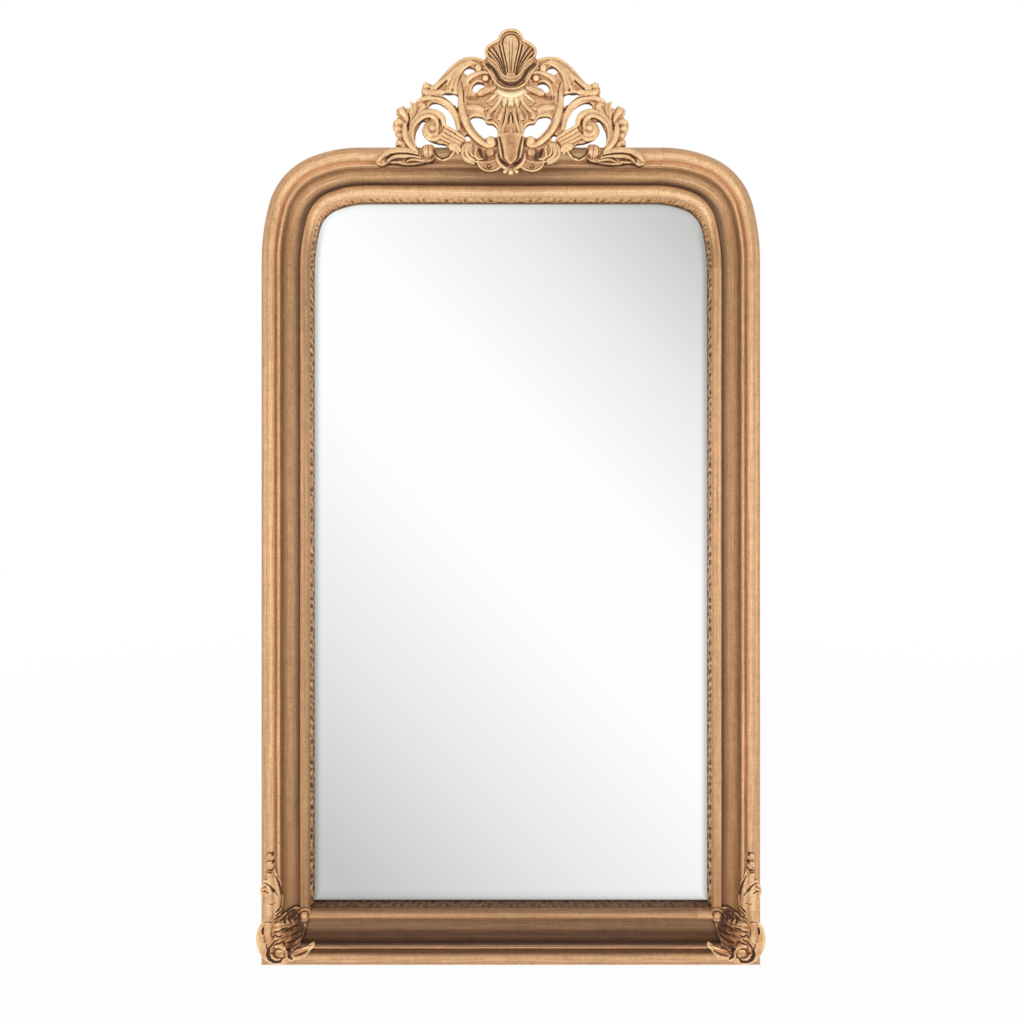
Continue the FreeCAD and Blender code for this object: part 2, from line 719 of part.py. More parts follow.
def foot_leaf():
    extras = [crest_band(v, -applied_thickness, vein_height, ridge_shares) for v in foot_vein_shares]
    ball = crest_sizes([foot_ball_share])[0]
    extras.append(boss(ball, on_crest, -applied_thickness, boss_height - vein_height))
    extras.append(crest_band(tendril_shares, 0.0, applied_thickness, ridge_shares))
    return scribed_piece(foot_outline_shares, extras)


def corner_leaf():
    """A leaf that wraps the mouldings of the corner, with a scroll round its outer side."""
    body = prism(leaf_sizes(leaf_outline_shares), on_corner, -leaf_thickness, slip_end_depth)
    body = body.common(scribed_corner(leaf_thickness))
    behind = Vector(-half_width - leaf_reach, depth_to_y(leaf_side_depth), bottom_z)
    body = body.cut(Part.makeBox(leaf_reach, frame_depth, 2 * leaf_reach, behind))
    scroll_path, vein_path = leaf_sizes(leaf_scroll_shares), leaf_sizes(leaf_vein_shares)
    scroll_height = roll_radius + leaf_volute_lift
    scroll = carved_band(scroll_path, on_corner, roll_radius, scroll_height, round_shares)
    vein = carved_band(vein_path, on_corner, 0.0, leaf_volute_lift, ridge_shares)
    volute_spot = tuple(s * leaf_reach for s in leaf_volute_share) + (leaf_volute_radius,)
    volute_height = hollow_end_depth + leaf_volute_lift
    volute = boss(volute_spot, on_corner, hollow_end_depth, volute_height)
    bud_spot = tuple(s * leaf_reach for s in leaf_bud_share) + (leaf_bud_radius,)
    bud_height = slip_end_depth - slip_crown_depth + leaf_bud_lift
    bud = boss(bud_spot, on_corner, slip_end_depth, bud_height)
    whole = joined([body, scroll, vein, volute, bud])
    low_corner = Vector(-frame_width, -frame_width, bottom_z - frame_width)
    floor = Part.makeBox(frame_width, frame_width, frame_width, low_corner)
    return whole.cut([scribed_corner(rail_fit), floor])


def husks():
    """Three overlapping husks on the roll above the leaf, each smaller than the one below."""
    low = leaf_reach * leaf_outline_shares[0][1]
    pieces = []
    for k in range(3):
        size, start = 1.0 - husk_taper_share * k, low + husk_spacing * k
        path = [
            (husk_inward, start + husk_spacing * up, husk_width * size * wide)
            for up, wide in husk_shares
        ]
        height = roll_radius + husk_height * size
        pieces.append(carved_band(path, on_corner, roll_radius, height, round_shares))
    return joined(pieces).cut(scribed_corner(rail_fit))


# Screws: many-sided, so that they stay light
def many_sided(sides, radius, length, start, axis):
    side = X_AXIS
    other = axis.cross(side)
    spots = []
    for k in range(sides):
        a = math.radians(360.0 * (k + 0.5) / sides)
        spots.append(start + side * (radius * math.cos(a)) + other * (radius * math.sin(a)))
    return Part.Face(polygon(spots)).extrude(axis * length)


def screw(seat, axis):
    """A screw whose head lies on its seat. The axis points into the wood."""
    head = many_sided(screw_head_sides, screw_head_radius, screw_head_height, seat, -axis)
    return head.fuse(many_sided(screw_sides, screw_radius, screw_length, seat, axis))


def screw_hole(seat, axis):
    radius, deep = screw_radius + screw_clearance, screw_length + screw_clearance
    return many_sided(screw_sides, radius, deep + overrun, seat - axis * overrun, axis)


def bored(shape, holes):
    for hole in holes:
        if shape.BoundBox.intersect(hole.BoundBox):
            shape = shape.cut(hole)
    return shape


# Hanging strap and ring
strap_x = half_width - hanger_inward
ring_axis_y = back_y + strap_thickness + ring_wire / 2 + ring_play
ring_reach = ring_inside_height + ring_wire / 2
ring_lean = math.asin((ring_axis_y - back_y - ring_wire / 2 - ring_lift) / ring_reach)
ring_axis_z = -ring_inside_height * math.cos(ring_lean)


def on_ring(depth):
    """Sideways and up from the ring's bar."""
    return lambda a, b: Vector(a, depth, b)


def ring(x):
    """A wire ring hanging up from its bar, with its bow leaning on the wood."""
    half = (ring_inside_width + ring_wire) / 2
    shoulder = ring_reach - half
    path = [
        (0.0, 0.0, ring_wire),
        (half, 0.0, ring_wire * math.sqrt(2.0)),
        (half, shoulder / 2, ring_wire),
        (half, shoulder, ring_wire),
    ]
    for k in range(1, ring_chords // 2 + 1):
        a = math.radians(180.0 * k / ring_chords)
        path.append((half * math.cos(a), shoulder + half * math.sin(a), ring_wire))
    turns = [math.radians(360.0 * (k + 0.5) / 8) for k in range(8)]
    wire_shares = [(math.cos(t) / 2, math.sin(t) / 2) for t in turns]
    side = carved_band(path, on_ring, 0.0, ring_wire, wire_shares)
    shape = joined([side, mirrored(side)])
    shape.rotate(CENTRE, X_AXIS, math.degrees(ring_lean))
    shape.translate(Vector(x, ring_axis_y, ring_axis_z))
    return shape


def strap(x):
    """A steel strap on the back of the stile, rolled round the bar of the ring at its top."""
    eye, left = ring_wire / 2 + ring_play, x - strap_width / 2
    outer, low = eye + strap_thickness, ring_axis_z - strap_length
    roll = Part.makeCylinder(outer, strap_width, Vector(left, ring_axis_y, ring_axis_z), X_AXIS)
    flat = Part.makeBox(strap_width, strap_thickness, strap_length, Vector(left, back_y, low))
    bore_start = Vector(left - overrun, ring_axis_y, ring_axis_z)
    bore = Part.makeCylinder(eye, strap_width + 2 * overrun, bore_start, X_AXIS)
    return joined([roll, flat]).cut(bore)


def strap_seats(x):
    first = ring_axis_z - strap_first_screw
    return [Vector(x, back_y + strap_thickness, first - strap_screw_spacing * k) for k in range(3)]


def crest_support():
    """The batten behind the crest, the bracket that holds it, and the bracket's screws."""
    crest_back = depth_to_y(crest_board)
    batten_back = crest_back + batten_thickness
    batten_corner = Vector(-batten_width / 2, crest_back, top_z)
    batten = Part.makeBox(batten_width, batten_thickness, crest_rise * batten_share, batten_corner)
    corner = Vector(-bracket_width / 2, batten_back, top_z)
    riser = Part.makeBox(bracket_width, bracket_thickness, bracket_riser, corner)
    foot = Part.makeBox(bracket_width, bracket_foot, bracket_thickness, corner)
    screws = []
    for share in bracket_screw_shares:
        seat = Vector(0, batten_back + bracket_thickness, top_z + bracket_riser * share)
        screws.append((seat, -Y_AXIS))
        seat = Vector(0, batten_back + bracket_foot * share, top_z + bracket_thickness)
        screws.append((seat, -Z_AXIS))
    holes = [screw_hole(*s) for s in screws]
    return bored(batten, holes), bored(joined([riser, foot]), holes), screws, holes


def main():
    os.makedirs("parts", exist_ok=True)
    parts = {}
    rails = moulding_set(rail_outline())
    slips = moulding_set(slip_outline())
    strips = moulding_set(strip_outline())
    batten, bracket, bracket_screws, bracket_holes = crest_support()
    hanger_screws = [(seat, -Y_AXIS) for x in (-strap_x, strap_x) for seat in strap_seats(x)]
    hanger_holes = [screw_hole(*s) for s in hanger_screws]
    names = {
        "left": "left_stile", "right": "right_stile", "bottom": "bottom_rail",
        "top": "top_rail", "shoulders": "top_shoulders",
    }
    for place, name in names.items():
        parts[name] = bored(rails[place], hanger_holes + bracket_holes)
        parts[place + "_inner_slip"] = slips[place]
        parts[place + "_leaf_strip"] = strips[place]

    parts["mirror_glass"] = sheet(glass_inward, glass_front_depth, glass_thickness)
    parts["packing_sheet"] = sheet(glass_inward, glass_back_depth, packing_thickness)
    parts["back_board"] = sheet(board_wall_inward + board_play, board_depth, board_thickness)
    blocks, pads = [], []
    block_y, block_depth = depth_to_y(glass_front_depth + block_play), glass_thickness - 2 * block_play
    for side in (-1, 1):
        x = side * frame_width * block_place_share
        corner = Vector(x - block_length / 2, block_y, bottom_z + glass_wall_inward)
        blocks.append(Part.makeBox(block_length, block_depth, glass_play, corner))
        corner = Vector(side * strap_x - pad_size / 2, back_y, bottom_z + pad_rise - pad_size / 2)
        pads.append(Part.makeBox(pad_size, wall_gap, pad_size, corner))
    parts["setting_blocks"] = Part.makeCompound(blocks)
    parts["wall_pads"] = Part.makeCompound(pads)
    for side, x in (("left", -strap_x), ("right", strap_x)):
        parts[side + "_hanger_strap"] = bored(strap(x), hanger_holes)
        parts[side + "_hanger_ring"] = ring(x)
    parts["hanger_screws"] = Part.makeCompound([screw(*s) for s in hanger_screws])

    parts["crest_scrollwork"] = scrollwork()
    parts["crest_collar"] = collar()
    parts["crest_shell"] = shell().cut(parts["crest_collar"])
    parts["crest_palmette"] = palmette().cut(parts["crest_collar"])
    parts["crest_urn"] = urn()
    parts["left_crest_apron"] = apron().cut(parts["crest_urn"])
    parts["left_crest_foot"] = foot_leaf()
    parts["crest_batten"] = batten
    parts["crest_bracket"] = bracket
    parts["bracket_screws"] = Part.makeCompound([screw(*s) for s in bracket_screws])
    parts["left_corner_leaf"] = corner_leaf()
    parts["left_husks"] = husks()
    for name in ("crest_apron", "crest_foot", "corner_leaf", "husks"):
        parts["right_" + name] = mirrored(parts["left_" + name])

    for name, shape in parts.items():
        box = shape.BoundBox
        low = [round(v, 1) for v in (box.XMin, box.YMin, box.ZMin)]
        high = [round(v, 1) for v in (box.XMax, box.YMax, box.ZMax)]
        cubic_cm = round(shape.Volume / 1000.0, 2)
        print(name, shape.isValid(), len(shape.Solids), cubic_cm, low, high)
        shape.exportStep(os.path.join("parts", name + ".step"))


main()
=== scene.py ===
"""Looks of the gilt wall mirror: carved crest, leaves, slips, finishes, lights and camera."""
import math

import bmesh
import bpy
import numpy as np
from bpy.props import FloatProperty, FloatVectorProperty, IntProperty, PointerProperty
from mathutils import Matrix, Vector


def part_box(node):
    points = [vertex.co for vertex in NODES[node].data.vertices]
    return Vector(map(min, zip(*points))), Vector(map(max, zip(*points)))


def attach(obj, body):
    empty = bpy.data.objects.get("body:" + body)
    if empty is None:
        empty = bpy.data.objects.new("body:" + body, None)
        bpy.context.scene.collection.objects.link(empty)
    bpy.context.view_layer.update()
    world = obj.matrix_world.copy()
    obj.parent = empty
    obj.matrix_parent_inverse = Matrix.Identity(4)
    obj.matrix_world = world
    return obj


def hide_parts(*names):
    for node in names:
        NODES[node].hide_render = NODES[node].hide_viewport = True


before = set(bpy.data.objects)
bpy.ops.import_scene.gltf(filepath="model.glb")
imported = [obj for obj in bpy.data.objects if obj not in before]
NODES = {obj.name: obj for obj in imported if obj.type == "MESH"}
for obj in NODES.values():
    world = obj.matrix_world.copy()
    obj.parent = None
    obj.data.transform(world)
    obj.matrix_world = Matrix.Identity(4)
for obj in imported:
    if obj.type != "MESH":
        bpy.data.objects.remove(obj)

bl_info = {
    "name": "Gilt wall mirror",
    "version": (1, 0, 0),
    "blender": (4, 5, 0),
    "location": "3D View > Sidebar > Gilt Mirror",
    "description": "Builds the carved and gilded surfaces of an arched wall mirror",
    "category": "Object",
}

MM = 0.001
LOW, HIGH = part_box("left_stile"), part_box("right_stile")
HALF_WIDTH = HIGH[1][0] / MM
FRONT = LOW[0][1] / MM
BOTTOM = LOW[0][2] / MM
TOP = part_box("top_rail")[1][2] / MM

# The frame's plan and its moulding, in mm, as the construction has them
RAIL = 82.0
SHOULDER_X, SHOULDER_Z = 291.765, 116.56
SHOULDER_ARCS = [
    # centre sideways, centre up, radius, end of the arc in degrees from straight up
    (291.765, 87.0, 250.0, 22.0),
    (333.721, 190.845, 138.0, 75.0),
    (56.5, 116.56, 425.0, 90.0),
]
# Inward and depth of the slip's edge at the glass, its back and its seat, and of the strip
SLIP_EDGE, SLIP_BACK = (77.3, 60.0), (79.3, 79.0)
SLIP_SEAT = [(68.15, 79.0), (68.15, 65.85), (62.15, 65.85)]
STRIP_SECTION = [(77.35, 60.0), (81.3, 66.0), (82.0, 78.7), (79.45, 78.7)]
# Slip's centre, radius and start of its round, and how far the strip stands out, for the
# sides and for the fuller top
SIDE_SLIP = (71.42, 52.25, 9.67, 62.15, 0.0)
TOP_SLIP = (66.9, 49.3, 12.2, 55.8, 2.6)
# Facets of the slip's round, degrees between the rings of a shoulder, and the angle in degrees
# above which an edge stays sharp
ROUND_STEPS, ARC_STEP, SHARP = 18, 2.5, 40
# Face of the moulding: inward, then depth behind the front of the frame
MOULDING_FACE = [
    (-20.0, 2.0), (0.0, 1.2), (6.0, 0.8), (13.0, 0.0),
    (17.0, 0.6), (21.0, 2.7), (24.0, 6.2), (26.5, 13.0), (30.2, 12.7), (33.8, 13.4),
    (36.2, 16.4), (44.0, 30.0), (52.0, 41.5), (62.0, 47.0), (66.0, 44.2), (71.4, 42.6),
    (76.8, 44.2), (81.0, 50.0), (100.0, 54.0),
]

# Toning across the moulding with painted light and shade: inward in mm, and 0 where toning and
# painted shade lie thick, more where it is bright or painted light
# Each run has its own table, painted lighter or darker as light falls on the sides, the top and the
# bottom
SIDE_TONING_AND_LIGHT = [
    (0, 0.76), (10, 0.81), (14, 0.77), (20, 0.9), (24.5, 0.91), (26.3, 0.66), (28.3, 1.12),
    (30.2, 0.91), (32, 0.83), (33.8, 0.86), (35, 0.54), (36.5, 0.53), (39, 0.7), (43, 0.81),
    (48, 0.75), (60, 0.33), (64, 1.12), (70, 0.7), (78, 0.73), (82, 0.61),
]
TOP_TONING_AND_LIGHT = [
    (0, 0.79), (6, 0.83), (14, 0.79), (22.5, 1.02), (24.5, 1), (30.2, 0.78), (32, 0.9),
    (33.8, 0.88), (35, 0.71), (36.5, 0.71), (39, 0.87), (43, 0.99), (48, 0.68), (53, 0.28),
    (57, 0.4), (64, 0.86), (67, 0.81), (74, 1.01), (78, 1.03), (81, 0.89), (82, 0.94),
]
BOTTOM_TONING_AND_LIGHT = [
    (0, 0.83), (6, 0.84), (10, 0.73), (14, 0.84), (17, 0.76), (20, 0.79), (22.5, 0.67),
    (24.5, 0.47), (26.3, 0.49), (28.3, 1.07), (30.2, 0.93), (32, 0.48), (33.8, 0.64), (35, 0.3),
    (36.5, 0.28), (39, 0.42), (43, 0.34), (48, 0.53), (53, 0.51), (60, 0.43), (62, 0.71),
    (64, 0.83), (67, 0.69), (70, 0.84), (78, 0.6), (82, 0.56),
]
BRIGHTEST_TONING_AND_LIGHT = 1.2

# Leaf strip, in mm: where it starts, its depth, and the waves of its vine and of its leaves
STRIP_START, STRIP_DEPTH, VINE_WAVE, LEAF_WAVE = 60.0, 18.7, 46.0, 15.0

# Painted reflection on the glass: its grey along its diagonal, then how far along it one more metre
# leads and the place of the frame's origin on it
PAINTED_REFLECTION = [
    (0.005, 197), (0.13, 218), (0.25, 234), (0.36, 245), (0.71, 248), (0.835, 235), (0.92, 218),
    (1.0, 201),
]
REFLECTION_SLOPE, REFLECTION_START = 0.4912, 0.7191
# Painted shade on the glass by its edge, a grey for each run, inward in mm: at the sides, the top
# and the bottom
RIMS = [
    [(82, 180), (84, 202), (87, 209), (90.5, 235), (94, 251), (98, 255)],
    [(80, 208), (82, 238), (86, 250), (92, 255)],
    [(83, 192), (85, 227), (92, 246), (103, 255)],
]
RIM_START, RIM_WIDTH = 80.0, 24.0

# Rounds of smoothing after which the small and the broad hollows of the carving are measured
FINE_ROUNDS, BROAD_ROUNDS = 6, 40
# Level of flat gilding and the highest level of a ridge. A crevice has 0
MIDDLE_LEVEL, HIGHEST_LEVEL = 0.68, 1.3

# Crest, in mm: out from the centre line and up from the top of the frame, for one half.
# The board's outline runs from the bottom of the centre line to its top.
BOARD_OUTLINE = [
    (0, -8), (97.6, -8), (120.7, -6), (123.2, -0.4), (142, 4.2), (159.6, 12), (170.4, 26.7),
    (165, 46.9), (178.8, 33.5), (183.7, 17.3), (182.8, 3.5), (178.8, -8), (201.6, -8),
    (211.8, -2.2), (221.3, 1.1), (217.9, 13.1), (223.3, 24.7), (227, 39.4), (217, 54.1),
    (220.4, 66.4), (211.8, 72.5), (204.3, 75.1), (198.9, 69), (192.3, 71.8), (192.3, 84.3),
    (186.9, 80.4), (178.8, 85.8), (171.5, 92.2), (171.8, 105.8), (165, 114.1), (156.2, 117.4),
    (146.9, 114.3), (121.4, 136), (97.6, 158.8), (77.1, 168), (52.4, 163.2), (44.5, 177),
    (36, 188), (23, 194), (15.5, 208), (0, 213),
]
BOARD_HOLES = [
    [(68.7, 140.2), (73.5, 134.9), (81.6, 133.6), (88.6, 137.1), (90.2, 143.2), (85.4, 148.5),
     (77.3, 149.8), (70.3, 146.3)],
    [(73.7, 105.8), (68.5, 117.8), (58.3, 119.6), (49.7, 114.3), (60.1, 107.5), (66.9, 100.7)],
    [(134.2, 95.7), (118, 99), (104.4, 97.5), (100.3, 85.4), (102.4, 71.8), (114.6, 82.8)],
    [(155.5, 78.6), (123.2, 71.8), (103.7, 25.8), (122, 35), (130.9, 60.2), (155.5, 70.1)],
    [(77.1, 51.2), (63.5, 54.8), (51.5, 51.2), (46.3, 42.7), (32.8, 39.4), (24.9, 27.4),
     (24.9, 17.3), (39.6, 15.8), (49.7, 13.1), (62.8, 24.1), (73, 37.7)],
    [(85.7, 19.9), (77.7, 9.6), (86.3, 9)],
]

# Strokes: how far the middle of the carved form stands in front of the board, then its
# points as out, up and half width
ACANTHUS = [
    (1, [(51, 160.9, 2.2), (62.1, 163.7, 2.9), (74.7, 165, 3.2), (89, 162.9, 3.5),
         (101.6, 155.8, 3.5), (112.7, 147.1, 3.5), (123.8, 136, 3.2), (133.3, 124.9, 2.9),
         (142.8, 115.4, 2.2)]),
    (1, [(79.5, 159.3, 2.2), (92.1, 153.4, 3.8), (103.2, 143.9, 5.1), (112.7, 133.6, 6.3),
         (122.2, 123.3, 7.6), (131.7, 116.2, 7.3), (142.8, 109.1, 7), (153.9, 105.1, 6.3)]),
    (2, [(66.8, 155.8, 1.9), (79.5, 157.4, 3.2), (90.6, 151, 3.8), (99.3, 141.5, 4.1),
         (106.4, 130.5, 4.1), (111.1, 119.4, 3.8), (114.3, 109.9, 3.2), (116.7, 103.5, 1.6)]),
    (1.5, [(60.5, 154.2, 1.6), (71.6, 154.5, 2.5), (82.6, 151, 3.2), (92.1, 143.9, 3.5),
           (99.3, 134.4, 3.8), (103.2, 124.1, 3.8), (105.6, 113, 3.5), (106.4, 102, 3.2),
           (104.8, 97.2, 1.3)]),
    (0.5, [(87.4, 136.8, 1.6), (92.1, 127.3, 2.9), (96.1, 116.2, 3.5), (98.5, 106.7, 3.5),
           (99.3, 97.2, 2.9)]),
    (0.5, [(118.3, 117.8, 1.6), (119.9, 109.9, 2.2), (122.5, 102, 1.6)]),
    (0.5, [(103.2, 96.4, 1.6), (114.3, 100.4, 2.2), (125.4, 100.8, 2.5), (134.9, 95.6, 2.2),
           (144.4, 93.2, 1.9)]),
    (1, [(167.4, 105.1, 4.8), (160.2, 98.8, 7), (149.1, 97.2, 6.7), (138.1, 99.6, 4.8),
         (128.6, 103.5, 1.9)]),
]
ARCH = [
    (1.5, [(179.2, 83, 2.9), (168.1, 86.1, 4.8), (153.9, 88.5, 5.4), (139.6, 87.7, 5.4),
           (127, 82.2, 5.1), (115.9, 73.5, 4.8), (107.2, 61.6, 4.4), (102.4, 48.1, 4.1),
           (100.1, 37, 3.8), (98.5, 27.5, 3.2)]),
    (0, [(150.7, 83, 1.6), (138.1, 80.6, 2.2), (125.4, 74.2, 2.5), (115.9, 64, 2.9),
         (108.8, 52.9, 2.9), (104.8, 40.2, 2.5), (102.9, 29.1, 1.9)]),
    (1, [(138.1, 94, 1.6), (128.6, 89.3, 2.2), (117.5, 81.4, 2.2), (108, 73.5, 1.9),
         (101.6, 70.3, 1.3)]),
    (0.5, [(176.1, 78.2, 4.1), (168.1, 71.9, 7), (172.9, 62.4, 5.7), (179.2, 52.9, 3.8),
           (184, 45, 2.2)]),
    (1, [(191.1, 82.6, 1.3), (190, 71.9, 2.5), (190, 60.8, 2.9), (190.6, 49.7, 2.5),
         (191.3, 38.6, 1.6)]),
    (0.5, [(197, 70.3, 1.6), (195.9, 59.2, 2.2), (194.3, 48.1, 2.2), (192.5, 37, 1.3)]),
    (0, [(184, 78.2, 1.9), (184, 65.5, 2.9), (186.4, 54.5, 2.5), (189, 43.4, 1.6)]),
]
SCALLOPS = [
    (0.5, [(210.9, 70.3, 4.8), (207.7, 62.4, 7), (202.2, 54.5, 4.8), (197.9, 46.5, 1.6)]),
    (0.5, [(222, 40.2, 5.4), (214.1, 43.4, 6.3), (205.4, 40.2, 3.2)]),
    (0.2, [(221.7, 32.3, 4.4), (214.9, 30.7, 5.4), (208.5, 28.3, 2.5)]),
    (0.5, [(217.2, 16.4, 5.4), (211.7, 17.2, 4.8), (206.9, 14.9, 2.2)]),
    (0.2, [(217.2, 4.6, 4.1), (210.9, 3.8, 4.1), (203.8, -1, 1.9)]),
    (3, [(202, 40.2, 3.5), (202.7, 29.1, 5.4), (201.7, 18, 6), (198.2, 6.9, 6),
         (191.9, -2.6, 5.7), (184, -11.3, 5.1), (176.9, -18.4, 3.2)]),
]
SCROLL = [
    (2, [(178.4, -20.8, 2.2), (184.8, -10.5, 3.2), (190, 2.2, 3.5), (191.9, 14.9, 3.5),
         (191.4, 27.5, 3.5), (187.9, 38.6, 3.8), (181.6, 48.1, 4.1), (172.9, 56, 4.8),
         (161.8, 60.8, 5.4), (150.7, 61.6, 6), (139.6, 58.4, 6.3), (131.7, 51.3, 6.3),
         (128.6, 41.8, 5.4), (128.6, 33.9, 3.2)]),
    (3.5, [(180, -5.7, 1.3), (185.6, 6.9, 2.2), (187.1, 19.6, 2.9), (184.8, 32.3, 3.2),
           (178.4, 41.8, 3.5), (169.7, 48.9, 3.8), (158.6, 52.9, 4.1), (149.1, 51.3, 4.4),
           (142.8, 45, 4.4), (140.4, 36.2, 4.1), (142, 27.5, 3.5)]),
    (1.5, [(130.1, 22.8, 2.2), (136.5, 14.9, 4.1), (144.4, 9.8, 4.8), (153.9, 10.1, 4.8),
           (161, 14.9, 4.1), (165, 23.6, 3.8), (165, 32.3, 3.5), (159.4, 40.2, 3.2),
           (150.7, 44.2, 2.2)]),
    (1.4, [(153, 46, 3), (147, 42, 4), (144.5, 35, 4), (147, 28, 3.4)]),
    (4, [(138.1, 27.5, 1.9), (142.8, 19.6, 3.8), (150.7, 16.4, 4.8), (157.9, 21.2, 4.8),
         (160.2, 29.1, 4.4), (155.5, 36.2, 3.8), (147.6, 38.6, 2.5)]),
]
STEM = [
    (2, [(125.1, 34.7, 3), (106, 24, 2.9), (86.1, 10.4, 2.2)]),
    (2.6, [(128.6, 27.8, 3), (109, 16.5, 2.9), (90.1, 5.7, 2.2)]),
    (2.6, [(132.2, 21, 3), (113, 10, 2.9), (94, 0.9, 2.2)]),
    (2, [(135.7, 14.1, 3), (117, 4.5, 2.9), (98, -3.8, 2.2)]),
]
KNOT = [
    (1.5, [(79.5, 2.2, 2.2), (87.4, -2.6, 3.8), (91.4, -10.5, 4.4), (91.4, -20, 4.4),
           (86.6, -28.7, 3.8), (77.9, -34.2, 2.9), (68.4, -38.2, 1.3)]),
    (4, [(76.3, 0.6, 1.9), (81.1, -5.7, 2.9), (83.4, -13.6, 3.2), (82.6, -22.3, 3.2),
         (77.1, -29.5, 2.9), (69.2, -34.2, 1.3)]),
    (2.5, [(73.1, -2.6, 1.6), (75.5, -8.9, 2.5), (76.3, -16, 2.9), (74.7, -23.1, 2.5),
           (69.2, -30.3, 1.9)]),
    (2, [(108, -8.9, 4.8), (103.2, -13.6, 3.5), (99.3, -20, 1.6)]),
]
LYRE = [
    (2, [(39.6, 118.6, 1.9), (35.1, 124.9, 2.5), (37, 132.8, 3.2), (45.4, 136.8, 3.5),
         (57.3, 136, 3.5), (68.4, 132, 4.1), (78.7, 125.7, 4.4), (86.6, 116.2, 4.8),
         (92.9, 105.1, 5.4), (95, 92.5, 5.7), (95, 78.2, 6.3), (92.9, 64, 7.3),
         (89, 49.7, 7.9), (84.2, 37, 7.6), (77.9, 26, 7.3), (69.2, 14.9, 6.7),
         (60.5, 6.2, 6.3), (51, -0.2, 5.7), (40.7, -3.3, 5.1), (32, -0.2, 3.8),
         (28, 5.4, 2.2)]),
    (1, [(79.5, 116.2, 1.6), (84.2, 106.7, 2.9), (86.3, 95.6, 3.2), (86.6, 84.5, 2.9),
         (85, 71.9, 2.2), (82.6, 59.2, 1.6)]),
    (0, [(52.6, 120.2, 1.9), (62.1, 122.2, 2.5), (70.8, 118.6, 2.9), (76.3, 111.5, 3.2),
         (79.5, 102, 3.2), (81.1, 92.5, 2.5), (81.9, 83, 1.6)]),
    (1, [(57.3, 141.5, 3.8), (66.8, 135.2, 4.1), (77.9, 130.5, 4.1), (87.4, 124.1, 3.8),
         (92.9, 113, 3.2)]),
    (1, [(52.6, 147.1, 2.9), (43.1, 141.5, 3.8), (35.1, 133.6, 3.8), (30.4, 124.9, 3.2),
         (28, 116.2, 2.2)]),
    (-0.5, [(79.5, 48.1, 1.3), (73.1, 33.9, 1.9), (63.6, 21.2, 2.2), (52.6, 12.5, 1.9),
            (47.8, 9.3, 1.3)]),
    (-1, [(83.4, 70.3, 6.3), (71.6, 70.3, 7.3), (60.5, 68.7, 7.3), (51, 64, 5.7)]),
]
SCROLLWORK_BALLS = [
    # out, up, radius, rise
    (161.8, 111.5, 7.3, 1), (149.9, 29.1, 6.3, 5), (111.9, -7.3, 7, 2), (48.3, 124.4, 6.3, 4),
    (62.1, 145.5, 7, 2), (38, 6, 9.5, 1.5),
]
SCROLLWORK_CUTS = [
    # depth of the cut, then its points as out, up and half width
    (3, [(141.2, 103.5, 0.8), (131.7, 111.4, 2.2), (122.2, 119.4, 2)]),
    (3, [(151, 91, 1), (130, 89.5, 1.4), (112, 80, 1.4), (103, 66, 1)]),
    (3, [(196, 60, 1), (194, 48, 1.6), (197, 36, 1)]),
    (1.5, [(95, 120, 0.8), (90.5, 100, 1), (90, 80, 0.8)]),
    (1.2, [(83, 44, 0.8), (74, 27, 1.2), (61, 13, 1), (48, 4, 0.8)]),
]
# Painted shade with some toning: amount, then points as out, up and half width
SCROLLWORK_LIGHT_AND_TONE = [
    (-0.34, [(81, 89.2, 4.2), (67.6, 89.2, 4.9), (59.8, 96.2, 4.2)]),
    (-0.2, [(87, 115.6, 3.5), (92.3, 101.5, 4.2)]),
]

# Shell: how far its plate and the middle of its rim stand in front of the board
SHELL_STAND, SHELL_RIM_RISE = 3.0, 5.5
SHELL_OUTLINE = [
    (0, 119.6), (13.6, 121.3), (25.8, 139.9), (39, 154.4), (46, 163.2), (48.2, 178.9),
    (40.5, 188.5), (31, 194), (24, 197.5), (19.5, 208.5), (10.5, 215.5), (0, 217.6),
]
SHELL_RIM = [
    (43.6, 164.3, 2.8), (46.8, 170.3, 2.8), (46.8, 177.7, 2.8),
    (41.8, 185.1, 2.8), (32.3, 191.8, 2.8), (23.8, 196.4, 2.8), (18.6, 206.6, 2.8),
    (11.1, 214.1, 2.8), (0, 215.8, 2.8),
]
SHELL_RIBS = [
    (3.5, [(20, 191.5, 1.2), (16.8, 180.9, 1.2), (14.3, 168.5, 1.2), (11.1, 154.4, 1.1),
         (8.7, 140.3, 1.1), (6.9, 129, 0.9)]),
    (1.5, [(38.7, 182.7, 1.1), (30.2, 173.5, 1.2), (21, 160.8, 1.1), (14, 146.7, 1.1),
         (9.7, 131.5, 0.9)]),
    (1.5, [(30.2, 187.6, 1.1), (24.6, 178.4, 1.1), (18.9, 165.7, 1.1), (13.3, 150.2, 1.1),
         (8.7, 133.3, 0.9)]),
    (1, [(42.2, 176.3, 1.1), (33.7, 167.1, 1.1), (24.6, 155.1, 1.1), (16.1, 142.1, 0.9),
         (11.1, 129.7, 0.7)]),
]
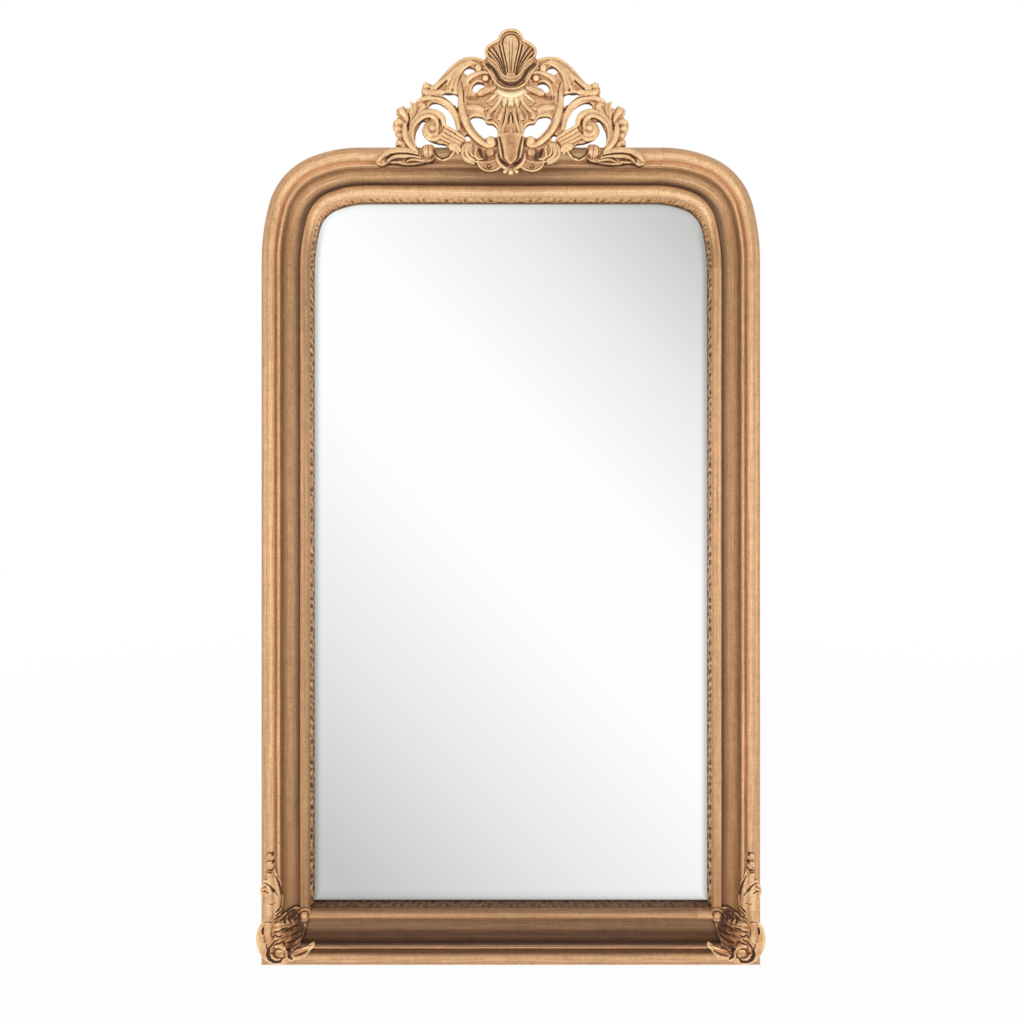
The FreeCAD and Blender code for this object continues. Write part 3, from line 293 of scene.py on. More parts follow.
SHELL_CUTS = [
    (2, [(0, 210.2, 1.1), (8.3, 208.8, 1.2), (14.3, 202.4, 1.3), (16.1, 193.2, 1.2),
         (13.6, 179.8, 1.1), (10.8, 166.8, 1.1), (8, 152.7, 1), (5.5, 136.8, 0.9)]),
    (2.2, [(22.4, 189.7, 1.2), (19.3, 177, 1.4), (15.7, 163.2, 1.3), (12.2, 149.1, 1.1),
         (9, 133.3, 1)]),
    (2.2, [(34.4, 185.5, 1.2), (27.4, 174.9, 1.5), (20.3, 162.2, 1.5), (14.3, 148.1, 1.2),
         (10.1, 133.3, 1)]),
    (2.2, [(41.5, 180.5, 1.2), (33, 171.4, 1.5), (23.1, 158, 1.5), (15.4, 143.8, 1.2),
         (11.1, 130.4, 1)]),
    (2.6, [(43.6, 172.8, 1.4), (35.8, 164.3, 1.8), (26.7, 152.3, 1.8), (17.5, 138.6, 1.6),
         (12.9, 130.4, 1.2)]),
    (1, [(3.4, 200.3, 0.7), (2.7, 175.6, 0.9), (1.6, 150.9, 0.7), (0.9, 133.3, 0.7)]),
]
# Painted light and shade on the shell, with some toning: amount, then points as out, up and half
# width
SHELL_LIGHT_AND_TONE = [
    (-0.16, [(32.3, 178.4, 7.8), (22.4, 163.2, 7.8), (12.9, 142.1, 4.9), (9.4, 131.5, 2.8)]),
    (-0.1, [(0, 158, 4.9), (0, 129.7, 3.5)]),
    (0.1, [(0, 202.1, 7.1), (0, 182.7, 7.1)]),
]
SHELL_DROP = [(4, [(0, 140.3, 1.8), (0, 133.5, 1.9), (0, 129, 1)])]

COLLAR_RIM = [
    (45.9, 164.2, 1.4), (38.1, 160.3, 1.5), (31.3, 154.5, 1.6), (25.9, 147.2, 1.6),
    (21, 138.4, 1.6), (16.7, 131.1, 1.6), (10.8, 126.2, 1.6), (5, 124, 1.6), (0, 123.3, 1.6),
]
COLLAR_CHANNEL = [
    (47.8, 154, 2.5), (43, 151.5, 3.9), (36.6, 146.7, 4.3), (31.3, 139.9, 4.5),
    (26.9, 131.6, 4.7), (21.5, 123.3, 4.9), (13.7, 117, 5.1), (6.9, 113.8, 5.3),
    (0, 112.9, 5.3),
]
COLLAR_BORDER = [
    (51, 156, 1.6), (50.6, 148.5, 1.8), (44.5, 140.5, 2), (38.5, 131.6, 2), (33.5, 122, 2),
    (26.5, 113, 2), (17, 106.6, 2), (8, 104, 2), (0, 103.4, 2),
]
# Rise of each band, and depth of the channel's cut and its share of the channel's width
COLLAR = [(7.4, COLLAR_RIM), (3.0, COLLAR_CHANNEL), (6.4, COLLAR_BORDER)]
COLLAR_CUT = (3.5, 0.8)

PALMETTE_STAND = 2.5
PALMETTE_OUTLINE = [
    (0, 17.3), (15.6, 17.3), (21.9, 37.7), (32.8, 48), (29.4, 70.1), (42.9, 78.6),
    (29.4, 95.7), (47.5, 100.7), (26.9, 109.5), (13.6, 102.1), (0, 99.6),
]
PALMETTE = [
    (2.5, [(28.8, 109.4, 3), (36.7, 105.1, 5.6), (47.8, 101.2, 6.8), (57.5, 97.2, 7),
           (63.4, 94.6, 4)]),
    (-1, [(26, 103, 5.4), (17, 99, 6.4), (9, 95.6, 7), (0, 94.6, 7.4)]),
    (2, [(27.9, 96.2, 1.9), (33.7, 90.4, 3), (40.6, 84.6, 3.5), (46.4, 80, 2.3)]),
    (2.5, [(19.8, 84.6, 1.6), (25.6, 76.5, 3), (32.5, 68.4, 3.9), (40.6, 60.3, 4.6),
           (42.9, 53.4, 5.3), (40.6, 46.5, 5.1)]),
    (1, [(34.8, 70.8, 2.3), (44.1, 68.4, 3), (49.3, 66.1, 2.3)]),
    (1.5, [(11.7, 80, 1.6), (15.2, 65, 3.9), (19.8, 53.4, 5.8), (23.3, 45.3, 4.6)]),
    (2, [(3.6, 81.2, 1.2), (5.9, 68.4, 3), (7.1, 56.9, 3.9), (9.4, 47.6, 3.9),
         (12.3, 38.4, 3.5), (15.2, 27.9, 3.9), (16.3, 18.7, 3.5)]),
    (3.5, [(0, 59.2, 0.9), (0, 51.1, 1.9), (0, 43, 2.1), (0, 38.4, 1.2)]),
    (1, [(0, 33.7, 1.2), (0, 26.8, 4.6), (0, 18.1, 7)]),
    (1, [(19.8, 38.4, 3.5), (20.4, 29.1, 3.9), (21.2, 20.5, 3)]),
]
PALMETTE_CUTS = [
    (1.2, [(5.8, 84, 0.5), (6.6, 76, 1), (5, 68, 0.6)]),
    (1.2, [(17, 84, 0.5), (18.4, 77, 1.1), (14.5, 68, 0.7)]),
    (1.6, [(0, 62, 0.8), (3.4, 50, 1.2), (4.6, 40, 0.8)]),
    (1.2, [(11.7, 52, 1.2), (13.6, 45, 1.4), (15.8, 36, 0.8)]),
]
# Painted light and shade on the palmette, with some toning: amount, then points as out, up and half
# width
PALMETTE_LIGHT_AND_TONE = [
    (0.5, [(0, 94, 5), (1, 84, 3), (3.6, 74, 1.6)]),
    (0.5, [(8, 95, 5), (10.5, 85, 3), (13, 73, 1.4)]),
    (0.42, [(16, 98, 5), (21, 86, 2.8), (25, 77, 1.4)]),
    (0.36, [(24, 102, 4.6), (31, 93, 2.6), (38, 86, 1.6)]),
    (-0.7, [(31.5, 117, 0.9), (30.8, 113, 0.9)]),
    (-0.7, [(27.5, 109, 0.9), (26.8, 105, 0.9)]),
    (-0.7, [(22.5, 105, 0.9), (21.5, 101, 0.9)]),
    (-0.7, [(18.5, 101, 0.8), (18, 98, 0.8)]),
    (-0.5, [(13.5, 98.5, 0.8), (13.2, 96, 0.8)]),
    (0.42, [(21, 101, 4.5), (10.4, 95.7, 5), (0, 94.3, 5)]),
    (0.2, [(14.7, 83.9, 2.8), (7.6, 79.6, 2.8), (0, 76.8, 2.8)]),
]

# Urn: how far its plate and its lip stand out, then depth and share of width of its recess's cut
URN_STAND, URN_LIP_RISE = 10.5, 9.5
URN_CUT = (1.6, 1.3)
URN_OUTLINE = [
    (25, 15.1), (25, 12), (23.3, -5.6), (20.6, -24), (18.6, -29.5), (5.9, -39.2), (0, -46.5),
]
URN_RECESS = [
    (21.4, 9, 1.5), (17.6, -6.4, 1.9), (15, -22, 1.9), (13.8, -31, 1.8), (5, -39, 1.4),
    (0, -44.4, 1.2),
]
URN_LIP = [(24, 13.6, 1.6), (12, 13.6, 1.6), (0, 13.6, 1.6)]
BUD = [
    (2.5, [(0, -47.5, 3), (0, -55, 5.6), (0, -59, 4)]),
    (2, [(5, -47.5, 2), (10.4, -51.5, 3.6), (13.2, -55.4, 3.2)]),
    (2, [(3, -45, 2), (8.6, -46.4, 3), (13.4, -48.4, 2)]),
]
# Painted shade on the urn, with some toning: amount, then points as out, up and half width
URN_LIGHT_AND_TONE = [
    (-0.12, [(17.8, 4.5, 3.2), (15.4, -11.4, 3.2), (12.4, -29.1, 3)]),
    (-0.2, [(0, 9, 9), (0, -22, 8), (0, -34, 4)]),
]

# Apron: how far its plate stands out, and how far its pendant stays behind its thickness
APRON_STAND, PENDANT_SINK = 1.6, 0.4
APRON_OUTLINE = [
    (26.7, -7), (23.6, -27.2), (26.7, -46.5), (41.6, -52.5), (58.4, -44), (63.4, -33),
    (68.5, -29.8), (83.8, -30.4), (93.3, -8.8), (82.3, -3.1), (68.5, -6.6),
]
APRON_RIM = [
    (63.5, -32.8, 1.4), (59.5, -43.6, 1.8), (47.3, -51.5, 1.8), (33.2, -51.5, 1.8),
    (21.6, -46, 1.8), (15.6, -41.6, 1.1),
]
APRON_PENDANT = [
    (63.9, -31.5), (59.3, -44.4), (47.3, -53.2), (33.2, -52.8), (21, -46.4), (23.4, -35.1),
    (28, -30.5), (38, -33.6), (47.3, -35.8), (56, -35.6),
]
APRON_VEINS = [
    (4.6, [(75.4, -34.4, 1.1), (61.4, -35.1, 1.4), (45.5, -35.8, 1.4), (29.7, -30.9, 1.4),
           (23.4, -22.4, 1.1)]),
    (5, [(68.4, -4.1, 1.4), (65.6, -11.2, 2.1), (67.7, -20, 2.5), (64.9, -28.1, 2.1),
         (52.6, -30.2, 1.8)]),
    (4, [(88.2, -6.8, 1.4), (91.4, -14, 2.5), (90.6, -23.8, 2.8), (82.5, -30.6, 2.8),
         (71.9, -35.4, 1.8)]),
    (5.4, [(82.5, -1.3, 1.4), (85.7, -11.2, 2.5), (83.9, -20.7, 2.8), (76.4, -28.5, 2.1),
           (68.4, -33, 1.1)]),
    (5, [(74, 0.8, 1.4), (77.6, -9.1, 2.1), (76.2, -18.6, 2.5), (69.8, -26.4, 1.4)]),
    (5, [(26.9, -18.4, 2.2), (26, -29.5, 3.2), (21.7, -38.2, 3.5), (14.6, -44.5, 3.5),
         (8, -49, 2.2)]),
]
APRON_CUTS = [
    (1, [(60, -10, 3), (57, -18, 4), (55, -25, 2)]),
]
# Painted shade and shadows on the apron, with some toning round its nail: amount, then points as
# out, up and half width
APRON_LIGHT_AND_TONE = [
    (-0.32, [(60, -10, 5), (55, -18, 7), (50, -27, 6)]),
    (-0.14, [(34, -43, 8), (48, -43, 8)]),
    (-0.4, [(44.6, -43.8, 1), (41, -47.4, 1), (37.4, -43.8, 1), (41, -40.2, 1), (44.6, -43.8, 1)]),
    (-0.22, [(44, -8, 6), (44, -24, 7), (32, -27, 5), (27, -10, 3)]),
]
APRON_NAIL = (41.0, -43.8, 2.6)
APRON_LOBE = (39.5, -15.0, 10.0, -2.6)

# Foot leaf: how far its plate stays behind its thickness
FOOT_SINK = 2.0
FOOT_OUTLINE = [
    (165.7, -13.6), (150.3, -0.4), (146, -16.9), (148, -29.8), (159.6, -33.9),
    (196.4, -39.4), (233.9, -35.9), (247.5, -41.4), (258.5, -29.8), (247.5, -15.1),
    (229.8, -8.1), (199.8, -8.1), (178.8, -16.9),
]
FOOT = [
    (3, [(176.8, -19.2, 3.8), (191.6, -14.6, 6.4), (209.1, -12.6, 6.6), (225, -14.2, 6.6),
         (239, -20.3, 5.6), (248.5, -27.1, 4.6), (253.5, -33.4, 2.5)]),
    (4.6, [(170.4, -28.6, 2.1), (186.3, -25.4, 3.2), (205.6, -24.5, 3.9), (221.5, -26, 3.9),
           (232, -31, 2.8), (235.9, -35.2, 1.4)]),
    (5.6, [(163.4, -34.4, 1.8), (177.5, -31.9, 2.8), (189.8, -31.6, 2.8), (199.3, -34.8, 1.4)]),
    (3, [(209, -34.6, 2.4), (219, -34.8, 2.4), (227.7, -35.4, 1.8)]),
    (3.4, [(205.6, -10.5, 2.1), (223.2, -10.5, 2.8), (239.8, -15.4, 2.8), (249.7, -22.4, 2.1)]),
]
FOOT_TENDRIL = [
    (2.6, [(147, -13, 2.6), (142, -23, 3.2), (131, -29.4, 3.6), (119, -25.6, 3.8),
           (111, -16, 3.8), (106, -8, 3)]),
    (3.8, [(119, -7, 3), (113, -3, 4.4), (106, -4, 5), (99, -10, 4.6), (96, -16, 3)]),
]
FOOT_CUTS = [
    (1.7, [(176.8, -22.4, 0.7), (195.1, -20, 1.2), (212.7, -19.2, 1.2), (228.5, -21.3, 1.2),
           (237.4, -27.2, 1.1), (241, -34.4, 0.7)]),
    (1.7, [(166.2, -31.3, 0.7), (182.8, -28.4, 1), (195.1, -28.1, 1.2), (202.1, -32.2, 0.7)]),
    (1.2, [(166.2, -4.1, 0.7), (168.3, -14.7, 1.3), (165.8, -27, 0.7)]),
    (0.6, [(156.4, -1.3, 0.7), (157.1, -14.7, 1.1), (155.7, -28.8, 0.7)]),
    (2.2, [(146, -15, 1.2), (141, -23, 1.6), (131, -28.6, 1.8), (120, -25, 1.8), (113, -16, 1.2)]),
]
# Painted shadow under the tendril and painted shade on the foot leaf, with some toning: amount, then
# points as out, up and half width
FOOT_LIGHT_AND_TONE = [
    (-0.5, [(146, -14, 3), (141, -22, 3.2), (131, -28, 3.2), (120, -24.4, 3.2),
            (113, -15, 3)]),
    (-0.24, [(148, -24, 4), (150, -31, 4)]),
    (-0.16, [(236, -30, 6), (200, -33, 4), (165, -33, 3)]),
]
FOOT_BALL = (158.9, -14.4, 14.2, 0)

# Corner leaf, in mm: inward from the side of the frame and up from its bottom. Its plate stands
# out from the moulding and sinks into it, and its cuts end at its floor
LEAF_STAND, LEAF_SINK, LEAF_FLOOR, LEAF_CLEARANCE = 1.5, 3.0, 0.6, 0.3
BODY_RELIEF, LEAF_RELIEF, HUSK_RELIEF = 0.36, 0.7, 0.6
HUSK_FLOOR, HUSK_SOFTENING = 0.4, 2
LEAF_OUTLINE = [
    (29.7, 168.9), (11, 166.1), (1.1, 148.5), (5, 134.2), (6.1, 103.4), (5.5, 90.2),
    (-4.2, 56.8), (5, 24.6), (15.3, 13.6), (29.7, 9.8), (42.7, 9.9), (54.6, 13.5), (77, 18.8),
    (93.5, 26), (101.2, 36), (91.3, 36.3), (75.9, 28.6), (75.9, 47.3), (77, 66), (82.5, 73.7),
    (80.3, 86.9), (68.2, 83.6), (57.2, 90.2), (44, 90.2), (37.4, 86.9), (38.6, 112),
    (39, 126.5), (36.6, 139.7), (35.6, 158.4),
]
LEAF_BODY = [
    (2, [(21.7, 182.8, 5.6), (22.8, 172.2, 7.9), (23.4, 157.2, 10.6), (22.8, 142.8, 13),
         (23, 129.1, 14.4), (22.4, 116.1, 14), (20.9, 103.5, 13.1), (17.9, 90.6, 11.7),
         (13, 79.6, 10.7)]),
    (3, [(16.2, 91.6, 5.6), (8, 79.9, 7.9), (4.2, 65.7, 9.3), (4.2, 49.4, 9.8), (7.5, 35.6, 8.8),
         (15.1, 24.2, 7.4), (26.7, 16, 6.1), (40.8, 13.9, 5.6), (54.5, 17.4, 4.7),
         (66.6, 21.2, 4.7)]),
    (2, [(62.3, 22.5, 6.1), (73.5, 23.7, 7), (83.8, 25.4, 6.1), (92.4, 29.2, 3.8),
         (98.4, 33.5, 1.9)]),
    (2.6, [(15, 84, 7), (14, 70, 8), (15, 58, 8), (19, 50, 6)]),
]
LEAF = [
    (3, [(8, 167.9, 1.9), (14.7, 168.1, 2.8), (21.1, 161.2, 3), (25.7, 148.2, 2.8),
         (32, 138.6, 2.1)]),
    (2.5, [(5.9, 150.5, 1.9), (12.2, 153.2, 2.6), (18.7, 148.9, 2.1), (22.6, 140, 1.4)]),
    (4, [(44.8, 22.2, 2.3), (42.9, 25.3, 3.3), (36.6, 26.5, 3.8), (31.3, 25.9, 3.5),
         (30.3, 24.3, 2.8)]),
    (4.5, [(57.1, 18.6, 2.1), (52.1, 24.6, 2.8), (45, 31.5, 3.3), (34.9, 36.1, 3.3),
         (26.3, 35.3, 2.8)]),
    (3, [(57.5, 28.9, 1.9), (71.5, 27.9, 2.6), (83.3, 31.2, 2.4), (92.3, 34.4, 1.4)]),
    (3, [(64.6, 19.4, 1.6), (79.2, 21.8, 2.1), (89.7, 24.4, 1.6)]),
    (2, [(25.3, 75.9, 3.3), (35.1, 77.6, 4.7), (44.1, 70.9, 4.8), (52.6, 64.2, 3.4)]),
    (1.5, [(25, 66.8, 2.8), (36.6, 65, 4.3), (45.6, 60.6, 4.3), (54.1, 57.5, 2.9)]),
    (1.5, [(24, 59.6, 2.1), (35, 55.2, 3.8), (45.6, 47.6, 4.8), (58.2, 50.3, 3.8),
         (66.2, 51.8, 1.9)]),
    (1.2, [(25.1, 48.9, 2.1), (34.9, 44.4, 3.8), (48.4, 40.5, 5.2), (60.7, 43.8, 4.8),
         (68.8, 48, 2.9)]),
    (1.2, [(39.1, 36.2, 3.3), (53.1, 36.5, 5.2), (65.8, 39.1, 5.2), (72.5, 43.2, 3.3)]),
    (1.2, [(54.4, 32.6, 3.8), (66.1, 33.6, 4.7), (74.3, 36.5, 3.8)]),
    (2, [(33, 83, 2.4), (36.7, 86.9, 3.3), (40.4, 88.7, 3.3), (44.1, 87.6, 2.4)]),
    (2, [(42.6, 77.4, 2.9), (47.3, 81.5, 3.8), (51.4, 84.9, 3.4)]),
    (2, [(51.4, 68.1, 2.9), (56.7, 73, 3.9), (60.4, 76.6, 2.4)]),
    (3, [(61.1, 78.2, 1.9), (67.5, 85.2, 2.2), (75.5, 87.1, 2.2), (81.3, 80.9, 1.9),
         (85.3, 77, 1.2)]),
]
LEAF_CUTS = [
    (3.5, [(9.2, 80.3, 1.4), (7.7, 74.6, 2.1), (8.2, 68.6, 1.4)]),
    (2.2, [(8.2, 162.8, 0.9), (15.3, 164.3, 1.2), (21.8, 157.2, 1.2), (26, 144.3, 1.2),
         (31.7, 135.1, 0.9)]),
    (2.2, [(6.2, 146.8, 0.9), (12.1, 149.6, 1.2), (18.2, 146.1, 0.9)]),
    (2, [(27.7, 171, 0.9), (33, 157.9, 1.2), (36.4, 141.6, 1.2), (37.6, 130.4, 0.9)]),
    (1, [(20.9, 125.8, 0.7), (24.9, 121.1, 0.9), (29.5, 119.9, 0.7)]),
    (1.5, [(12.3, 90.9, 0.7), (18.8, 91.8, 0.9), (23.7, 87.1, 0.7)]),
    (4.5, [(36.4, 108.7, 1.2), (33.4, 106.2, 1.6), (28.8, 101.8, 0.9)]),
    (4.5, [(37.3, 100.2, 1.2), (33.8, 98.2, 1.6), (28.4, 94.3, 0.9)]),
    (4.5, [(37.3, 91.5, 1.4), (32.5, 90.8, 1.6), (26, 87.6, 0.9)]),
    (5, [(43.6, 59.7, 1.2), (36.6, 63.6, 2.1), (25.8, 62.9, 1.2)]),
    (4.5, [(36.7, 51.9, 1.4), (30.3, 53.5, 2.1), (24.3, 56.9, 1.2)]),
    (6, [(33, 47.1, 0.9), (24.4, 44.2, 1.4), (18.4, 37.8, 1.8), (16.8, 28.4, 2.2),
         (20.6, 18.8, 2.2), (30.8, 14.4, 2), (41.4, 15.4, 1.8), (44, 19.4, 1.2)]),
    (5, [(48.8, 30.4, 1.2), (54.4, 25.8, 1.4), (55.7, 22.9, 1.4), (63.2, 19.4, 1.2)]),
    (3, [(62.6, 27, 0.7), (67.3, 31.2, 1.2), (73.7, 33.7, 1.4)]),
    (3, [(42.8, 70.2, 1), (40.8, 75.9, 1.2), (41.9, 80.2, 1)]),
    (3.5, [(63.9, 69.4, 1.4), (70.8, 64.2, 1.4), (80.9, 67.2, 1.2), (86.3, 74.4, 1)]),
    (2.5, [(49.1, 64.6, 0.7), (45.8, 77.2, 1.2), (47.1, 83.2, 0.7)]),
    (2.5, [(55.6, 62.4, 0.7), (53.6, 70.9, 1.2), (54.8, 77.2, 0.7)]),
    (2.5, [(49.1, 55, 0.7), (59.1, 55.3, 1.2), (66, 57.1, 0.7)]),
    (2.5, [(51.1, 44.8, 0.7), (63, 47.5, 1.2), (70.1, 50.3, 0.7)]),
    (2.5, [(47.8, 38.2, 0.7), (60.9, 40.2, 1.2), (72.1, 44.8, 0.7)]),
    (1.6, [(64.8, 22.8, 0.7), (77.7, 24.2, 0.9), (89.9, 26.9, 0.7)]),
]
# Painted light and shade on the corner leaf, deepest in its hollow, with some toning: amount, then
# points as inward, up and half width
LEAF_LIGHT_AND_TONE = [
    (-0.13, [(22, 180, 12), (23, 142, 20), (22, 100, 16), (8, 60, 12), (22, 18, 10), (80, 24, 10)]),
    (-0.34, [(33, 47.1, 1.2), (24.4, 44.2, 1.8), (18.4, 37.8, 2.2), (16.8, 28.4, 2.6),
             (20.6, 18.8, 2.6), (30.8, 14.4, 2.2), (41.4, 15.4, 2), (44, 19.4, 1.6)]),
    (-0.4, [(9, 80, 1.6), (8, 70, 2)]),
    (-0.45, [(36, 63.6, 1.6), (27, 63, 1.4)]),
    (-0.45, [(33, 53, 1.6), (25, 56.5, 1.4)]),
    (-0.34, [(38, 84.1, 6.2), (48.5, 82.7, 7.2), (60.3, 70.5, 6.3)]),
    (-0.36, [(62.6, 58, 6.3), (67.5, 46.4, 8.6), (66.6, 39.1, 8.5), (55.4, 35.8, 6.1)]),
    (-0.2, [(28.1, 57.9, 3.8), (43.7, 49, 9.6), (52, 41.8, 10.5), (37.7, 40.7, 6.2)]),
    (-0.2, [(56.4, 31.9, 4.7), (70.5, 31.9, 4.7), (78.8, 36.4, 3.8)]),
    (0.16, [(29.4, 74.1, 1.9), (40.7, 72.1, 2.1), (49.3, 65.7, 1.9)]),
    (0.12, [(26.1, 65.2, 1.4), (36.3, 64.9, 1.9), (43.7, 60.6, 1.4)]),
    (0.12, [(22, 169.3, 4.7), (23.4, 135.6, 7), (22, 108.5, 6.1)]),
    (0.14, [(-1.3, 63.5, 1.9), (-2.2, 44.8, 2.1), (4.5, 24.1, 2.1), (21, 10.5, 2.1),
         (39.6, 8, 1.9)]),
    (0.16, [(70.5, 76.3, 2.9), (76.5, 72.6, 2.9)]),
    (-0.16, [(11.7, 87.5, 1.9), (9.8, 73.4, 3.7), (12.2, 54.9, 3.3)]),
]
LEAF_BUD = (73.0, 75.0, 8.6, 1.5)
HUSK_FORMS = [
    (2.2, [(20.3, 220.5, 4.7), (20.3, 213, 5.6)]),
    (2.6, [(20.7, 205.2, 5.1), (20.7, 197.3, 6.5)]),
    (2.2, [(20.9, 188.1, 6.1), (21.4, 179.2, 7)]),
]
HUSK_CUTS = [
    (2.6, [(15.4, 219.5, 0.9), (17.9, 222.8, 1.2), (21, 222.8, 1.2), (23.7, 219.3, 1.2),
         (24.7, 214.3, 0.9)]),
    (3, [(15.1, 205.8, 1.2), (17.7, 209.1, 1.4), (21.1, 209.5, 1.6), (24.1, 205.6, 1.4),
         (25.5, 199.2, 1.2)]),
    (3, [(14.7, 194.2, 0.9), (19.2, 188.2, 1.4), (23.6, 185.9, 1.4), (25.9, 187.2, 0.9)]),
    (2.2, [(15.7, 186.6, 0.9), (20.9, 183.9, 1.2), (25.3, 181.2, 0.9)]),
]

# Hanging rings, in mm: axis as out, depth and up, and lean on the back in degrees
RING_AXIS, RING_LEAN = (451.5, -4.32, -23.9686), 2.93
# Half of the ring's width, height of its straight sides, middle of its bow and smallest facet
RING_HALF, RING_SIDE, RING_BOW, RING_GRAIN = 15.0, 7.2, 11.0, 0.35

# Brads, in metres: distance from the board's edge, from its ends, and from its bottom and top
BRAD_INSET, BRAD_END, BRAD_LOW, BRAD_HIGH = 0.008, 0.1, 0.06, 0.2
BRAD_RADII, BRAD_THICKNESS, BRAD_LIFT = (0.0018, 0.0022), 0.001, 0.0004

# Stage, in metres: floor, lamps as name, place, aim, size and power, and camera
FLOOR_SIZE, FLOOR_MIDDLE, FLOOR_DROP = 8.0, 7.1, 0.45
LAMPS = [
    ("key", (-2.2, -2.6, -0.3), (0, 0, -0.35), 1.8, 33.0),
    ("fill", (2.3, -2.6, -0.5), (0, 0, -0.4), 1.8, 35.0),
    ("under", (0.0, -2.4, -1.6), (0, 0, -0.2), 1.4, 12.0),
]
CAMERA_PLACE, CAMERA_LENS, CAMERA_SHIFT = (0.0023, -1.3565, -0.325), 23.01, -0.021


def seen(red, green, blue):
    """A colour as the eye sees it, 0 to 255, made linear."""
    parts = [c / 255.0 for c in (red, green, blue)]
    return tuple(c / 12.92 if c <= 0.04045 else ((c + 0.055) / 1.055) ** 2.4 for c in parts)


def length_value(name, description, size, **limits):
    """A setting for a length, given in mm."""
    return FloatProperty(
        name=name, description=description, default=size * MM, unit="LENGTH", **limits)


def colour_value(name, description, *tone):
    """A setting for a colour, given as the eye sees it."""
    return FloatVectorProperty(
        name=name, description=description, subtype="COLOR", size=3, min=0, max=1,
        default=seen(*tone))


class GiltMirrorSizes(bpy.types.PropertyGroup):
    """Sizes of the carving and the fittings"""

    relief: FloatProperty(
        name="Relief", description="How far a carved form stands out, as a share of its half width",
        default=0.8, min=0.2, max=1.5, subtype="FACTOR")
    carving_grain: length_value(
        "Carving grain", "Size of the smallest facet of the scrollwork", 1.4, min=0.0005)
    fine_grain: length_value(
        "Fine grain", "Size of the smallest facet of the small carved pieces", 0.75,
        min=0.0003)
    softening: IntProperty(
        name="Softening", description="How often the carving is smoothed", default=3, min=0, max=20)
    applied_thickness: length_value(
        "Applied thickness", "Thickness of the aprons and foot leaves", 5.0)
    board_thickness: length_value("Board thickness", "Thickness of the pierced board", 9.0)
    ring_wire: length_value("Ring wire", "Thickness of the hanging rings' wire", 4.0)
    brad_spacing: length_value(
        "Brad spacing", "Distance between the brads of the back board", 120.0)


class GiltMirrorColours(bpy.types.PropertyGroup):
    """Colours of the gilding, the wood and the glass"""

    gilt: colour_value("Gilt", "Middle tone of the gilding", 216, 165, 118)
    pale_gilt: colour_value("Pale gilt", "Worn, light tone of the gilding", 255, 222, 172)
    crevice: colour_value("Crevice", "Dark tone in the hollows of the carving", 78, 50, 32)
    bole: colour_value("Bole", "Red-brown ground that shows through the gilding", 148, 102, 66)
    glass: colour_value("Glass", "Tone of the silvered glass", 254, 254, 254)
    wood: colour_value("Wood", "Bare wood of the batten and the frame's back", 150, 112, 76)


# Ways of making a mesh
def linked(name, data):
    piece = bpy.data.objects.new(name, data)
    bpy.context.scene.collection.objects.link(piece)
    return piece


def evaluated(piece):
    """The mesh of an object with its modifiers or bevel applied; the object goes."""
    graph = bpy.context.evaluated_depsgraph_get()
    mesh = bpy.data.meshes.new_from_object(piece.evaluated_get(graph))
    data = piece.data
    bpy.data.objects.remove(piece)
    store = bpy.data.meshes if isinstance(data, bpy.types.Mesh) else bpy.data.curves
    store.remove(data)
    return mesh


def mesh_of(bm, name):
    """The mesh of a bmesh, which is freed."""
    mesh = bpy.data.meshes.new(name)
    bm.to_mesh(mesh)
    bm.free()
    return mesh


def curve_mesh(name, paths, closed, **settings):
    """The mesh of smooth splines through paths of x, y, z and radius."""
    curve = bpy.data.curves.new(name, "CURVE")
    for key, value in settings.items():
        setattr(curve, key, value)
    for path in paths:
        spline = curve.splines.new("BEZIER")
        spline.bezier_points.add(len(path) - 1)
        for knot, (x, y, z, radius) in zip(spline.bezier_points, path):
            knot.co, knot.radius = (x, y, z), radius
            knot.handle_left_type = knot.handle_right_type = "AUTO"
        spline.use_cyclic_u = closed
    return evaluated(linked(name, curve))


def rods(paths, sides=3, steps=5):
    """Round rods along paths of x, y, z and radius, as one mesh."""
    return curve_mesh("rods", paths, False, dimensions="3D", bevel_depth=1.0,
                      bevel_resolution=sides, resolution_u=steps, use_fill_caps=True)


def plate(outlines, front, back):
    """A plate between two depths, cut to a smooth outline with holes."""
    paths = [[(x, z, 0.0, 1.0) for x, z in outline] for outline in outlines]
    mesh = curve_mesh("plate", paths, True, dimensions="2D", fill_mode="BOTH",
                      extrude=(back - front) / 2, resolution_u=6)
    middle = Matrix.Translation((0, (front + back) / 2, 0))
    mesh.transform(middle @ Matrix.Rotation(math.pi / 2, 4, "X"))
    return mesh


def ball(x, y, z, radius):
    bm = bmesh.new()
    bmesh.ops.create_uvsphere(
        bm, u_segments=20, v_segments=12, radius=radius, matrix=Matrix.Translation((x, y, z)))
    return mesh_of(bm, "ball")


def joined(meshes):
    bm = bmesh.new()
    for mesh in meshes:
        bm.from_mesh(mesh)
        bpy.data.meshes.remove(mesh)
    return mesh_of(bm, "joined")


def strokes_mesh(strokes, relief):
    """Rods along strokes, flattened in depth about the board's front."""
    mesh = rods([[(x, -rise / relief, z, r) for x, z, r in path] for rise, path in strokes])
    mesh.transform(Matrix.Diagonal((1, relief, 1, 1)))
    return mesh


def balls_mesh(balls, relief):
    mesh = joined([ball(x, -rise / relief, z, r) for x, z, r, rise in balls])
    mesh.transform(Matrix.Diagonal((1, relief, 1, 1)))
    return mesh


